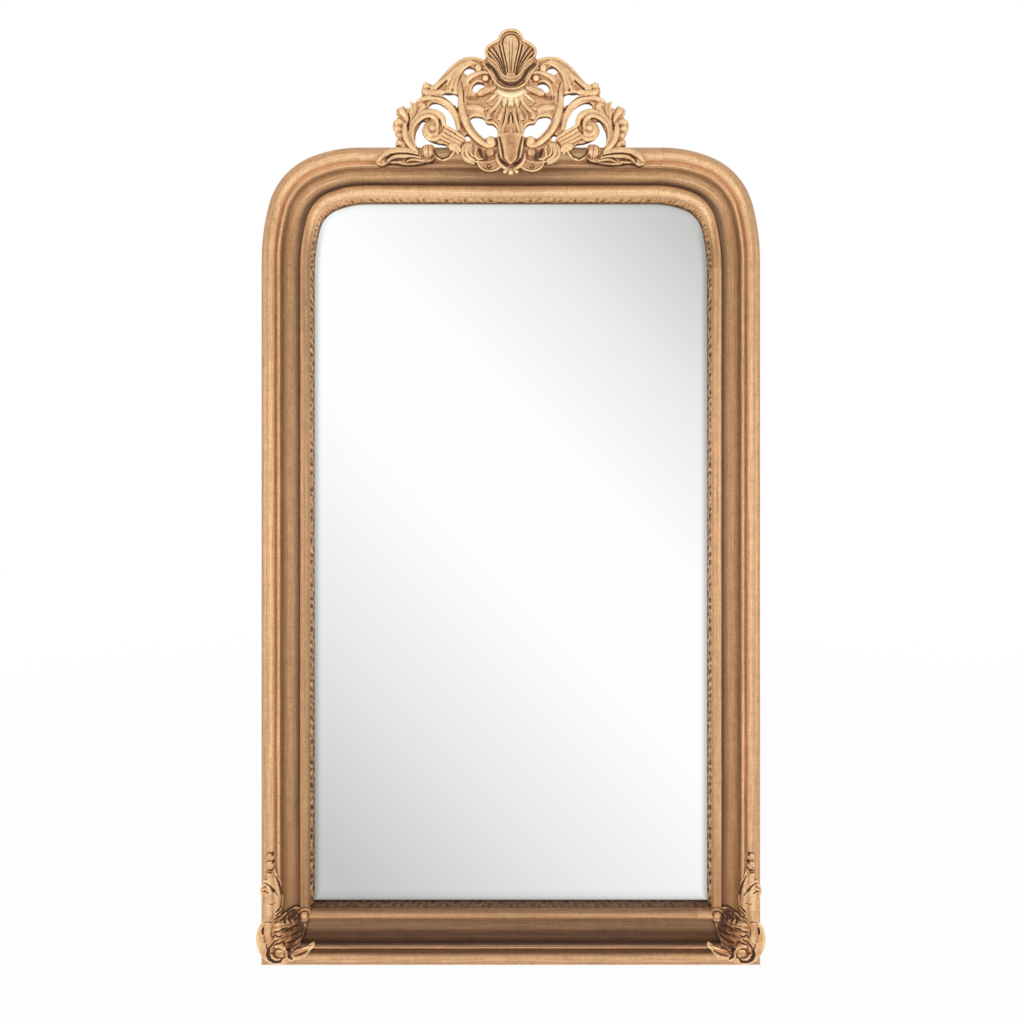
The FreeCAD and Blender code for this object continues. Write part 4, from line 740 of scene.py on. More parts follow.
def fused(mesh, grain, softening):
    """One carved skin over overlapping forms."""
    piece = linked("fused", mesh)
    remesh = piece.modifiers.new("Carve", "REMESH")
    remesh.mode = "VOXEL"
    remesh.voxel_size = grain
    smooth = piece.modifiers.new("Soften", "SMOOTH")
    smooth.factor = 0.5
    smooth.iterations = softening
    return evaluated(piece)


def spots_of(mesh, kind="co"):
    """The places of a mesh's points, or their normals."""
    spots = np.empty(len(mesh.vertices) * 3)
    mesh.vertices.foreach_get(kind, spots)
    return spots.reshape(-1, 3)


def put_spots(mesh, spots):
    mesh.vertices.foreach_set("co", spots.ravel())
    mesh.update()


def nearness(spots, path, widen):
    """How near spots lie to a path of out, up and half width: 1 on its middle, 0 past its edge."""
    flat, near = spots[:, [0, 2]], np.zeros(len(spots))
    for (x1, z1, r1), (x2, z2, r2) in zip(path, path[1:]):
        start, run = np.array((x1, z1)), np.array((x2 - x1, z2 - z1))
        share = np.clip((flat - start) @ run / (run @ run), 0, 1)
        away = np.linalg.norm(flat - start - share[:, None] * run, axis=1)
        reach = widen * (r1 + (r2 - r1) * share)
        near = np.maximum(near, np.clip(1 - (away / reach) ** 2, 0, 1))
    return near


def gouge(mesh, cuts, deepest):
    """Presses grooves into the front of a skin, and tells how much toning lies in each spot.

    A skin thinner than its cuts keeps its front above the deepest level."""
    spots = spots_of(mesh)
    front = np.clip(-spots_of(mesh, "normal")[:, 1] * 1.5 + 0.4, 0, 1)
    push, toned = np.zeros(len(spots)), np.zeros(len(spots))
    for depth, path in cuts:
        fall = nearness(spots, path, 1.5) ** 1.5
        push = np.maximum(push, depth * fall)
        toned = np.maximum(toned, fall * min(1.0, 0.4 + depth / 8.0))
    pressed = spots[:, 1] + push * front
    if deepest is not None:
        pressed = np.where(spots[:, 1] < deepest, np.minimum(pressed, deepest), spots[:, 1])
    spots[:, 1] = pressed
    put_spots(mesh, spots)
    return toned * front


def evened(amounts):
    """Amounts about their median, in units of their usual spread."""
    low, middle, high = np.percentile(amounts, (10, 50, 90))
    return (amounts - middle) / (high - low)


def mark_cavities(mesh, toned, light_and_tone):
    """Stores a level for each spot, low in hollows and high on ridges, with painted shade on walls
    turned aside and painted light, shade and toning laid over it.
    """
    count = len(mesh.vertices)
    ends = np.empty(len(mesh.edges) * 2, dtype=np.int64)
    mesh.edges.foreach_get("vertices", ends)
    first, second = ends[0::2], ends[1::2]
    valence = np.maximum(np.bincount(ends, minlength=count), 1)[:, None]
    spots, normals = spots_of(mesh), spots_of(mesh, "normal")
    moved, hollows = spots, []
    for done in range(1, BROAD_ROUNDS + 1):
        near = [np.bincount(first, moved[second, k], count)
                + np.bincount(second, moved[first, k], count) for k in range(3)]
        moved = 0.5 * moved + 0.5 * np.column_stack(near) / valence
        if done in (FINE_ROUNDS, BROAD_ROUNDS):
            hollows.append(evened(np.einsum("ij,ij->i", moved - spots, normals)))
    fine, broad = hollows
    level = MIDDLE_LEVEL - 0.22 * np.clip(broad, -0.9, 0.9) - 0.2 * np.clip(fine - 0.1, -0.4, 0.8)
    # Painted shade with toning: walls turned aside from the front are darker
    level -= 0.5 * np.clip(1.0 - 1.3 * np.abs(normals[:, 1]), 0, 1)
    level -= 0.4 * np.clip(toned * 1.3, 0, 1)
    # Painted light and shade, with some toning, from the tables of strokes
    for amount, path in light_and_tone:
        level += amount * np.clip(1.2 * nearness(spots, path, 1.35), 0, 1)
    level = np.clip(level, 0, HIGHEST_LEVEL)
    mesh.attributes.new("cavity", "FLOAT", "POINT").data.foreach_set("value", level)


def carved(parts, grain, softening, cuts, light_and_tone=(), deepest=None):
    """Overlapping forms as one skin, with cuts pressed into it and its hollows marked."""
    mesh = fused(joined(parts), grain, softening)
    mark_cavities(mesh, gouge(mesh, cuts, deepest), light_and_tone)
    shaded_smooth(mesh)
    return mesh


def whole_path(half):
    """A path over both halves from one that ends on the centre line."""
    return [(-x, z, r) for x, z, r in half] + list(reversed(half[:-1]))


def both_sides(strokes):
    """Strokes of one half and their mirror images. One on the centre line isn't doubled."""
    doubled = []
    for rise, path in strokes:
        doubled.append((rise, [(-x, z, r) for x, z, r in path]))
        if any(x for x, _, _ in path):
            doubled.append((rise, path))
    return doubled


def both_halves(half):
    """A closed outline from a half that starts and ends on the centre line."""
    return [(-x, z) for x, z in half] + list(reversed(half[1:-1]))


def channel(depth, share, half):
    """A cut along the whole of a mirrored path, at a share of its width."""
    return [(depth, [(x, z, r * share) for x, z, r in whole_path(half)])]


def onto_crest(mesh):
    """From mm in front of the board and above the rail to the frame's metres."""
    mesh.transform(Matrix.Scale(MM, 4) @ Matrix.Translation((0, FRONT, TOP)))


def shaded_smooth(mesh, corner=None):
    """Smooth shading, with edges sharper than a number of degrees kept."""
    mesh.polygons.foreach_set("use_smooth", [True] * len(mesh.polygons))
    if corner:
        mesh.set_sharp_from_angle(angle=math.radians(corner))
    mesh.update()


def mirror_image(mesh):
    other = mesh.copy()
    other.transform(Matrix.Diagonal((-1, 1, 1, 1)))
    other.flip_normals()
    return other


def finished(name, mesh, material, nodes, body="mirror"):
    """Gives a piece its name, finish and body, and hides the CAD nodes that it stands for."""
    mesh.name = name
    mesh.materials.clear()
    mesh.materials.append(material)
    piece = linked(name, mesh)
    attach(piece, body)
    if nodes:
        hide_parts(*nodes)


def finished_pair(label, mesh, material, node):
    """A carving of the right side and its mirror image on the left."""
    left = mirror_image(mesh)
    for side, made in (("right", mesh), ("left", left)):
        finished("carved_" + side + "_" + label, made, material,
                 [side + "_" + node])


# Ways of making a finish
class Finish:
    """Adds nodes to one material and joins them up."""

    def __init__(self, name):
        self.material = bpy.data.materials.new(name)
        self.material.use_nodes = True
        self.tree = self.material.node_tree
        self.shader = self.tree.nodes["Principled BSDF"]

    def node(self, kind, inputs=(), **settings):
        made = self.tree.nodes.new(kind)
        for key, value in settings.items():
            setattr(made, key, value)
        for key, value in dict(inputs).items():
            self.feed(made.inputs[key], value)
        return made

    def feed(self, socket, value):
        if isinstance(value, bpy.types.NodeSocket):
            self.tree.links.new(value, socket)
        elif socket.type == "RGBA" and len(value) == 3:
            socket.default_value = (*value, 1.0)
        else:
            socket.default_value = value

    def math(self, operation, *parts):
        return self.node("ShaderNodeMath", dict(enumerate(parts)), operation=operation).outputs[0]

    def product(self, first, *others):
        for other in others:
            first = self.math("MULTIPLY", first, other)
        return first

    def total(self, first, second):
        return self.math("ADD", first, second)

    def less(self, first, second):
        return self.math("SUBTRACT", first, second)

    def line(self, amount, slope, start):
        return self.math("MULTIPLY_ADD", amount, slope, start)

    def above(self, amount, limit):
        return self.math("GREATER_THAN", amount, limit)

    def below(self, amount, limit):
        return self.math("LESS_THAN", amount, limit)

    def spread(self, amount, start, end, low=0.0, high=1.0):
        """Start where the amount is low and end where it is high."""
        inputs = {"Value": amount, "From Min": low, "From Max": high, "To Min": start, "To Max": end}
        return self.node("ShaderNodeMapRange", inputs).outputs[0]

    def eased(self, amount, low, high, start=0.0, end=1.0):
        """Start where the amount is low and end where it is high, with a soft change between."""
        eased = self.spread(amount, start, end, low, high)
        eased.node.interpolation_type = "SMOOTHSTEP"
        return eased

    def chosen(self, test, yes, no):
        """Yes where the test is 1, no where it is 0."""
        return self.spread(test, no, yes)

    def place(self):
        return self.node("ShaderNodeTexCoord").outputs["Object"]

    def split(self):
        return self.node("ShaderNodeSeparateXYZ", {"Vector": self.place()}).outputs

    def vector(self, x, y, z):
        return self.node("ShaderNodeCombineXYZ", {"X": x, "Y": y, "Z": z}).outputs[0]

    def noise(self, scale, detail=3.0, vector=None, roughness=0.55):
        inputs = {"Scale": scale, "Detail": detail, "Roughness": roughness}
        inputs["Vector"] = vector or self.place()
        return self.node("ShaderNodeTexNoise", inputs).outputs["Fac"]

    def grain(self, scale, detail, squeeze):
        """Noise drawn out upwards."""
        inputs = {"Vector": self.place(), "Scale": (1, 1, squeeze)}
        return self.noise(scale, detail, self.node("ShaderNodeMapping", inputs).outputs[0])

    def ramp(self, amount, stops):
        made = self.node("ShaderNodeValToRGB", {"Fac": amount})
        points = made.color_ramp.elements
        points[1].position, points[0].position = stops[-1][0], stops[0][0]
        points[1].color, points[0].color = (*stops[-1][1], 1.0), (*stops[0][1], 1.0)
        for position, colour in stops[1:-1]:
            points.new(position).color = (*colour, 1.0)
        return made.outputs["Color"]

    def mix(self, amount, first, second, blend="MIX"):
        made = self.node("ShaderNodeMix", data_type="RGBA", blend_type=blend)
        for key, value in zip((0, 6, 7), (amount, first, second)):
            self.feed(made.inputs[key], value)
        return made.outputs[2]

    def tinted(self, first, second):
        return self.mix(1.0, first, second, "MULTIPLY")

    def bump(self, height, strength, distance):
        inputs = {"Height": height, "Strength": strength, "Distance": distance}
        return self.node("ShaderNodeBump", inputs).outputs["Normal"]

    def surface(self, colour, roughness, normal=None, **fixed):
        self.feed(self.shader.inputs["Base Color"], colour)
        self.feed(self.shader.inputs["Roughness"], roughness)
        if normal:
            self.feed(self.shader.inputs["Normal"], normal)
        for key, value in fixed.items():
            self.shader.inputs[key.replace("_", " ")].default_value = value
        return self.material


def scaled(colour, share):
    return tuple(c * share for c in colour)


def between(first, second, share):
    return tuple(a + (b - a) * share for a, b in zip(first, second))


def carved_gilt(colours):
    """Gilding on carving: dark crevices, worn light ridges and mottled patches, with painted shade
    from ambient occlusion and, with patina, from depth behind the front.
    """
    finish = Finish("gilded_carving")
    level = finish.node("ShaderNodeAttribute", attribute_name="cavity").outputs["Fac"]
    freckles = finish.noise(260.0, 3.0, roughness=0.75)
    for blots in (finish.noise(55.0, 4.0), freckles):
        level = finish.total(level, finish.line(blots, 0.6, -0.3))
    # Painted shade with patina: the carving darkens with depth behind the front of the frame
    recess_shade = finish.spread(finish.split()["Y"], 0.0, 0.38, (FRONT + 8.0) * MM, (FRONT + 34.0) * MM)
    # Painted shade: ambient occlusion darkens the colour in crevices and where pieces meet
    shade = finish.node("ShaderNodeAmbientOcclusion", {"Distance": 0.012}, samples=6).outputs["AO"]
    level = finish.product(finish.less(level, recess_shade), finish.spread(shade, 0.55, 1.03))
    gilt, pale, dark, bole = colours.gilt, colours.pale_gilt, colours.crevice, colours.bole
    colour = finish.ramp(finish.product(level, 1 / HIGHEST_LEVEL), [
        (0.0, dark), (0.12, between(dark, bole, 0.45)), (0.23, bole),
        (0.34, between(bole, gilt, 0.7)), (0.46, gilt), (0.6, between(gilt, pale, 0.55)),
        (0.77, pale), (1.0, seen(255, 243, 200)),
    ])
    normal = finish.bump(freckles, 0.35, 0.0006)
    return finish.surface(colour, finish.spread(level, 0.62, 0.4), normal, Metallic=0.3)


class MouldingPlace:
    """Where a spot lies on the frame, as nodes of a finish: distances in mm and tests of 0 or 1."""

    def __init__(self, finish):
        self.finish = finish
        split = finish.split()
        self.side = finish.product(finish.math("ABSOLUTE", split["X"]), 1 / MM)
        self.depth = finish.line(split["Y"], 1 / MM, -FRONT)
        self.up = finish.product(split["Z"], 1 / MM)
        self.from_side = finish.less(HALF_WIDTH, self.side)
        self.from_bottom = finish.less(self.up, BOTTOM)
        self.on_bottom = finish.below(self.from_bottom, self.from_side)
        self.on_top = finish.above(self.up, SHOULDER_Z)
        arc, arc_run = self.arcs()
        past = finish.above(self.side, SHOULDER_X)
        high = finish.chosen(past, arc, finish.less(TOP, self.up))
        high_run = finish.chosen(past, arc_run, self.side)
        low = finish.math("MINIMUM", self.from_side, self.from_bottom)
        low_run = finish.chosen(self.on_bottom, self.side, self.up)
        self.inward = finish.chosen(self.on_top, high, low)
        self.run = finish.chosen(self.on_top, high_run, low_run)

    def arcs(self):
        """Distance inward from the shoulder's edge and run along it."""
        finish, inward, run = self.finish, 0.0, 0.0
        for across, high, radius, end in reversed(SHOULDER_ARCS):
            dx, dz = finish.less(self.side, across), finish.less(self.up, high)
            reach = finish.total(finish.product(dx, dx), finish.product(dz, dz))
            reach = finish.product(
                finish.math("SQRT", reach), finish.math("SIGN", finish.total(dx, dz)))
            angle = finish.math("ARCTAN2", dx, dz)
            here = finish.below(angle, math.radians(end))
            inward = finish.chosen(here, finish.less(radius, reach), inward)
            run = finish.chosen(here, finish.product(angle, radius), run)
        return inward, run

    def stretched(self, across, along):
        """A place for noise that is drawn out along the moulding."""
        product = self.finish.product
        return self.finish.vector(
            product(self.inward, across), product(self.run, along), product(self.depth, across))

    def by_run(self, sides, top, bottom):
        """One of three colours: on the sides, towards the top and along the bottom."""
        finish = self.finish
        height = finish.less(self.up, SHOULDER_Z)
        share = finish.math("DIVIDE", height, finish.less(TOP - SHOULDER_Z, self.inward))
        colour = finish.mix(finish.eased(share, 0.15, 0.98), sides, top)
        return finish.mix(self.on_bottom, colour, bottom)


def moulding_gilt(colours, name):
    """Gilding on a moulding, with toning in its grooves, painted light and shade that differ from
    run to run, and streaks along it.
    """
    finish = Finish(name)
    place = MouldingPlace(finish)
    wander = finish.line(finish.noise(30.0, 2.0), 1.2, -0.6)
    share = finish.product(finish.total(place.inward, wander), 1 / RAIL)
    # Painted light and shade: each run takes its toning from its own table, lighter or darker as
    # light falls on it
    tonings_and_light = [finish.ramp(share, [(u / RAIL, (brightness / BRIGHTEST_TONING_AND_LIGHT,) * 3) for u, brightness in run])
             for run in (SIDE_TONING_AND_LIGHT, TOP_TONING_AND_LIGHT, BOTTOM_TONING_AND_LIGHT)]
    colour = finish.ramp(place.by_run(*tonings_and_light), [
        (0.25, seen(80, 55, 38)), (0.38, seen(117, 85, 57)), (0.5, seen(154, 117, 83)),
        (0.62, seen(189, 147, 105)), (0.75, seen(226, 181, 136)), (0.9, seen(252, 213, 168)),
    ])
    drawn = finish.noise(1.0, 4.0, place.stretched(0.5, 0.008))
    tone = finish.line(drawn, 0.7, 0.25)
    tone = finish.line(finish.noise(60.0, 3.0), 0.25, tone)
    tone = finish.line(finish.noise(330.0, 2.0, roughness=0.7), 0.55, tone)
    colour = finish.tinted(colour, finish.ramp(finish.line(tone, 2.2, -1.7), [
        (0.0, (0.6, 0.56, 0.5)), (0.35, (0.88, 0.85, 0.8)), (0.6, (1.06, 1.06, 1.07)),
        (1.0, (1.38, 1.42, 1.5))]))
    hue = finish.mix(finish.noise(22.0, 2.0), (1.03, 0.985, 0.95), (0.97, 1.01, 1.03))
    colour = painted_light_and_joints(finish, finish.tinted(colour, hue), colours, place)
    behind = finish.product(finish.above(place.depth, 60.0), finish.below(place.inward, 2.0))
    bare = finish.math("MAXIMUM", behind, finish.above(place.depth, 89.0))
    grain = finish.noise(40.0, 5.0, place.stretched(0.004, 0.0003))
    wood = finish.mix(grain, scaled(colours.wood, 0.62), colours.wood)
    colour = finish.mix(finish.product(bare, 0.9), colour, wood)
    normal = finish.bump(finish.total(finish.noise(700.0, 2.0), drawn), 0.2, 0.0005)
    return finish.surface(colour, finish.spread(drawn, 0.38, 0.56), normal, Metallic=0.3)


def painted_light_and_joints(finish, colour, colours, place):
    """Painted shadow of the crest on the top rail, darker bole towards the bottom of the side
    hollows, painted shade in the top hollow under the crest, dark joints, and a painted highlight on
    the right.
    """
    # Painted shadow of the crest on the top rail near the middle, strongest on the outer roll
    crest_shadow = finish.product(
        finish.eased(place.side, 60.0, 260.0, 0.36, 0.0),
        finish.eased(place.inward, 6.0, 22.0, 1.7, 1.0),
        place.on_top, finish.below(place.inward, 55.0))
    colour = finish.mix(crest_shadow, colour, colours.crevice)
    # Darker bole towards the bottom of the side hollows, and painted shade in the top hollow under
    # the crest
    hollow = finish.above(place.inward, 36.0)
    low = finish.eased(place.up, BOTTOM + 80.0, BOTTOM + 330.0, 0.4, 0.0)
    low = finish.product(low, finish.less(1.0, place.on_bottom), hollow)
    under = finish.product(finish.eased(place.side, 20.0, 160.0, 0.2, 0.0), place.on_top, hollow)
    colour = finish.mix(finish.total(low, under), colour, colours.bole)
    # Painted highlight: the inner part of the moulding on the right made paler
    right = finish.product(
        finish.above(finish.split()["X"], 0.37), finish.less(1.0, place.on_top),
        finish.above(place.inward, 62.5))
    colour = finish.mix(right, colour, (1.3, 1.32, 1.36), "MULTIPLY")
    seam = finish.math("ABSOLUTE", finish.less(place.side, SHOULDER_X))
    joint = finish.product(place.on_top, finish.below(seam, 0.5), 0.3)
    return finish.mix(joint, colour, colours.crevice)


def leaf_strip_gilt(colours):
    """A pressed vine: painted light along the top, broken and dark at the sides, painted shade in
    brown at the bottom, and darker towards the glass.
    """
    finish = Finish("gilded_leaf_strip")
    place = MouldingPlace(finish)
    across = finish.line(place.depth, 1 / STRIP_DEPTH, -STRIP_START / STRIP_DEPTH)
    drift = finish.line(finish.noise(28.0, 3.0), 26.0, place.run)
    vine = finish.math("SINE", finish.product(drift, 2 * math.pi / VINE_WAVE))
    vine = finish.line(vine, 0.24, 0.5)
    stem = finish.line(finish.math("ABSOLUTE", finish.less(across, vine)), -6.0, 1.0)
    leaf = finish.line(across, 4.0, finish.product(drift, 2 * math.pi / LEAF_WAVE))
    relief = finish.math("MAXIMUM", stem, finish.product(finish.math("SINE", leaf), 0.8))
    flecks = finish.vector(finish.product(across, 2.2), finish.product(place.run, 0.095), 0.0)
    level = finish.line(relief, 0.22, finish.line(finish.noise(1.0, 4.0, flecks), 1.1, -0.05))
    # Painted shade: the strip darkens deeper in, towards the glass
    level = finish.total(level, finish.line(across, -0.2, 0.1))
    # Painted light and shade by run: a darker copy at the sides, a lit one along the top and a
    # shaded brown one at the bottom
    sides = finish.ramp(level, [
        (0.0, seen(54, 34, 20)), (0.38, seen(92, 62, 40)), (0.52, seen(146, 104, 70)),
        (0.72, seen(206, 160, 110)), (1.0, seen(250, 214, 168))])
    top = finish.ramp(finish.line(across, -0.62, level), [
        (0.0, seen(116, 76, 46)), (0.2, seen(160, 112, 70)), (0.36, seen(206, 156, 106)),
        (0.6, seen(238, 188, 134)), (1.0, seen(255, 220, 172))])
    bottom = finish.ramp(finish.line(across, -0.3, level), [
        (0.0, seen(48, 32, 22)), (0.2, seen(74, 52, 36)), (0.5, seen(112, 80, 52)),
        (1.0, seen(150, 112, 76))])
    normal = finish.bump(relief, 0.6, 0.0012)
    return finish.surface(place.by_run(sides, top, bottom), 0.5, normal, Metallic=0.25)


def silvered_glass(colours):
    """Silvered plate with a painted reflection, bright along one diagonal and greyer towards two
    corners, and painted shade at its edge.
    """
    finish = Finish("silvered_plate")
    place, split = MouldingPlace(finish), finish.split()
    # Painted reflection: a grey that changes along the diagonal of the glass
    slope = finish.line(split["X"], REFLECTION_SLOPE, REFLECTION_START)
    slope = finish.line(split["Z"], REFLECTION_SLOPE, slope)
    stops = [(along, seen(grey, grey, grey - 1)) for along, grey in PAINTED_REFLECTION]
    stops[4:4] = [(0.48, colours.glass), (0.65, colours.glass)]
    colour = finish.ramp(slope, stops)
    near = finish.math("MINIMUM", place.inward, place.from_bottom)
    share = finish.line(near, 1 / RIM_WIDTH, -RIM_START / RIM_WIDTH)
    # Painted shade by the glass's edge, one grey for each run
    rims = [finish.ramp(share, [
        ((u - RIM_START) / RIM_WIDTH, seen(grey, grey, 1.09 * grey - 23)) for u, grey in rim])
        for rim in RIMS]
    colour = finish.tinted(colour, place.by_run(*rims))
    across = finish.chosen(place.on_top, place.inward, place.from_side)
    across = finish.math("MAXIMUM", finish.line(across, -MM, 0.099), 0.0)
    low = finish.math("MAXIMUM", finish.line(place.from_bottom, -MM, 0.104), 0.0)
    height = finish.line(across, across, finish.product(low, low, 2.0))
    rough = finish.spread(finish.noise(9.0, 3.0), 0.012, 0.02)
    return finish.surface(colour, rough, finish.bump(height, 1.0, 6.5), Metallic=1.0)


def plain_wood(colours, name, share=1.0):
    finish = Finish(name)
    grain, wood = finish.grain(120.0, 6.0, 0.06), scaled(colours.wood, share)
    colour = finish.mix(grain, scaled(wood, 0.6), wood)
    stain = finish.product(finish.noise(6.0, 3.0), 0.4)
    colour = finish.mix(stain, colour, scaled(wood, 0.5))
    return finish.surface(colour, finish.spread(grain, 0.62, 0.8), finish.bump(grain, 0.3, 0.0006))


def matt(name, colour, scale, roughness):
    """A plain material with fine fibres or grain."""
    finish = Finish(name)
    fibres = finish.noise(scale, 5.0, roughness=0.7)
    tone = finish.mix(fibres, scaled(colour, 0.72), scaled(colour, 1.1))
    rough = finish.spread(fibres, roughness - 0.08, roughness + 0.08)
    return finish.surface(tone, rough, finish.bump(fibres, 0.4, 0.0004))


def plated_metal(name, colour):
    """Plated steel with fine scratches and a little tarnish."""
    finish = Finish(name)
    scratches = finish.grain(2200.0, 3.0, 0.05)
    tarnish = finish.product(finish.noise(90.0, 4.0), 0.5)
    tone = finish.mix(tarnish, colour, scaled(colour, 0.45))
    rough = finish.spread(scratches, 0.28, 0.46)
    return finish.surface(tone, rough, finish.bump(scratches, 0.15, 0.0002), Metallic=0.9)


def dress(node, material):
    """Puts a finish on every slot of a CAD node."""
    piece = NODES[node]
    if not piece.material_slots:
        raise RuntimeError(node + " has no material slot")
    for place in piece.material_slots:
        place.material = material


class BuildOperator:
    """What every builder shares."""

    bl_options = {"REGISTER", "UNDO"}

    def gilt(self, context):
        """The finish of the carving, made once."""
        made = bpy.data.materials.get("gilded_carving")
        return made or carved_gilt(context.scene.gilt_mirror_colours)

    def on_crest(self, context, piece, parts, cuts, light_and_tone=()):
        """Carves one of the crest's middle pieces from its forms."""
        sizes = context.scene.gilt_mirror_sizes
        mesh = carved(parts, sizes.fine_grain / MM, sizes.softening, cuts, light_and_tone)
        onto_crest(mesh)
        finished("carved_" + piece, mesh, self.gilt(context), ["crest_" + piece])


class FinishFrame(BuildOperator, bpy.types.Operator):
    """Finishes the rails, shoulders, glass, back and hardware that keep their made shape"""

    bl_idname = "gilt_mirror.finish_frame"
    bl_label = "Finish frame"

    def execute(self, context):
        colours = context.scene.gilt_mirror_colours
        for material, nodes in (
            (moulding_gilt(colours, "gilded_moulding"),
             ("left_stile", "right_stile", "bottom_rail", "top_rail", "top_shoulders")),
            (silvered_glass(colours), ("mirror_glass",)),
            (plain_wood(colours, "bare_batten"), ("crest_batten",)),
            (plain_wood(colours, "stained_board", 0.8), ("back_board",)),
            (matt("grey_card", seen(176, 158, 130), 220.0, 0.8), ("packing_sheet",)),
            (matt("black_rubber", seen(46, 44, 43), 900.0, 0.72), ("setting_blocks", "wall_pads")),
            (plated_metal("plated_steel", seen(196, 176, 132)),
             ("left_hanger_strap", "right_hanger_strap", "hanger_screws", "crest_bracket",
              "bracket_screws")),
        ):
            for node in nodes:
                dress(node, material)
        return {"FINISHED"}


def slip_section(shape):
    """Outline of the slip: inward and depth. It starts at the foot of its rounded front."""
    across, deep, radius, foot, shift = shape
    edge, back = SLIP_EDGE[0] - shift, SLIP_BACK[0] - shift
    start, end = -math.acos((foot - across) / radius), math.acos((edge - across) / radius)
    angles = [start + (end - start) * k / ROUND_STEPS for k in range(ROUND_STEPS + 1)]
    round_part = [(across + radius * math.cos(a), deep + radius * math.sin(a)) for a in angles]
    return round_part + [(edge, SLIP_EDGE[1]), (back, SLIP_BACK[1])] + SLIP_SEAT


def strip_section(shape):
    return [(u - shape[4], v) for u, v in STRIP_SECTION]


def swept(rings):
    """A closed shell through rings of x, y and z in mm, made in metres, with both ends capped."""
    bm = bmesh.new()
    rings = [[bm.verts.new(spot) for spot in ring] for ring in rings]
    for near, far in zip(rings, rings[1:]):
        for k in range(len(near)):
            bm.faces.new((near[k - 1], near[k], far[k], far[k - 1]))
    bm.faces.new(rings[0])
    bm.faces.new(rings[-1])
    bmesh.ops.remove_doubles(bm, verts=bm.verts, dist=0.001)
    bmesh.ops.recalc_face_normals(bm, faces=bm.faces)
    bmesh.ops.scale(bm, vec=(MM, MM, MM), verts=bm.verts)
    mesh = mesh_of(bm, "run")
    shaded_smooth(mesh, SHARP)
    return mesh


def shoulder_run(section):
    """The section swept along the right shoulder, fuller at the top rail than at the stile."""
    rings, start = [], 0.0
    for across, high, radius, end in SHOULDER_ARCS:
        steps = max(4, round((end - start) / ARC_STEP))
        for k in range(1 if rings else 0, steps + 1):
            degrees = start + (end - start) * k / steps
            a, shape = math.radians(degrees), between(TOP_SLIP, SIDE_SLIP, degrees / 90.0)
            out, up = math.sin(a), math.cos(a)
            rings.append([(across + (radius - u) * out, FRONT + v, high + (radius - u) * up)
                          for u, v in section(shape)])
        start = end
    return swept(rings)


def five_runs(section):
    """Meshes of a moulding round the opening: left, right, bottom, top and shoulders."""
    sides, full = section(SIDE_SLIP), section(TOP_SLIP)
    right = swept([[(HALF_WIDTH - u, FRONT + v, z) for u, v in sides]
                   for z in (BOTTOM, SHOULDER_Z)])
    bottom = swept([[(s * (HALF_WIDTH - u), FRONT + v, BOTTOM + u) for u, v in sides]
                    for s in (-1, 1)])
    top = swept([[(s * SHOULDER_X, FRONT + v, TOP - u) for u, v in full] for s in (-1, 1)])
    shoulder = shoulder_run(section)
    shoulders = joined([shoulder, mirror_image(shoulder)])
    shaded_smooth(shoulders, SHARP)
    return {"left": mirror_image(right), "right": right, "bottom": bottom, "top": top,
            "shoulders": shoulders}


class InnerSlips(BuildOperator, bpy.types.Operator):
    """Makes the smooth rounded slips and the leaf strips round the glass"""

    bl_idname = "gilt_mirror.inner_slips"
    bl_label = "Inner slips and leaf strips"

    def execute(self, context):
        colours = context.scene.gilt_mirror_colours
        slip = moulding_gilt(colours, "gilded_slip")
        for side, mesh in five_runs(slip_section).items():
            finished(side + "_slip", mesh, slip, [side + "_inner_slip"])
        strip = leaf_strip_gilt(colours)
        for side, mesh in five_runs(strip_section).items():
            finished(side + "_strip", mesh, strip, [side + "_leaf_strip"])
        return {"FINISHED"}


class CrestScrollwork(BuildOperator, bpy.types.Operator):
    """Carves the pierced scrollwork of the crest"""

    bl_idname = "gilt_mirror.crest_scrollwork"
    bl_label = "Crest scrollwork"

    def execute(self, context):
        sizes = context.scene.gilt_mirror_sizes
        strokes = both_sides(ACANTHUS + ARCH + SCALLOPS + SCROLL + STEM + KNOT + LYRE)
        balls = [(s * x, z, r, rise) for x, z, r, rise in SCROLLWORK_BALLS for s in (-1, 1)]
        holes = [[(s * x, z) for x, z in hole] for hole in BOARD_HOLES for s in (-1, 1)]
        board = plate([both_halves(BOARD_OUTLINE)] + holes, 0.0, sizes.board_thickness / MM)
        parts = [board, strokes_mesh(strokes, sizes.relief), balls_mesh(balls, sizes.relief)]
        mesh = carved(parts, sizes.carving_grain / MM, sizes.softening,
                      both_sides(SCROLLWORK_CUTS), both_sides(SCROLLWORK_LIGHT_AND_TONE))
        onto_crest(mesh)
        finished("carved_scrollwork", mesh, self.gilt(context),
                 ["crest_scrollwork"])
        return {"FINISHED"}


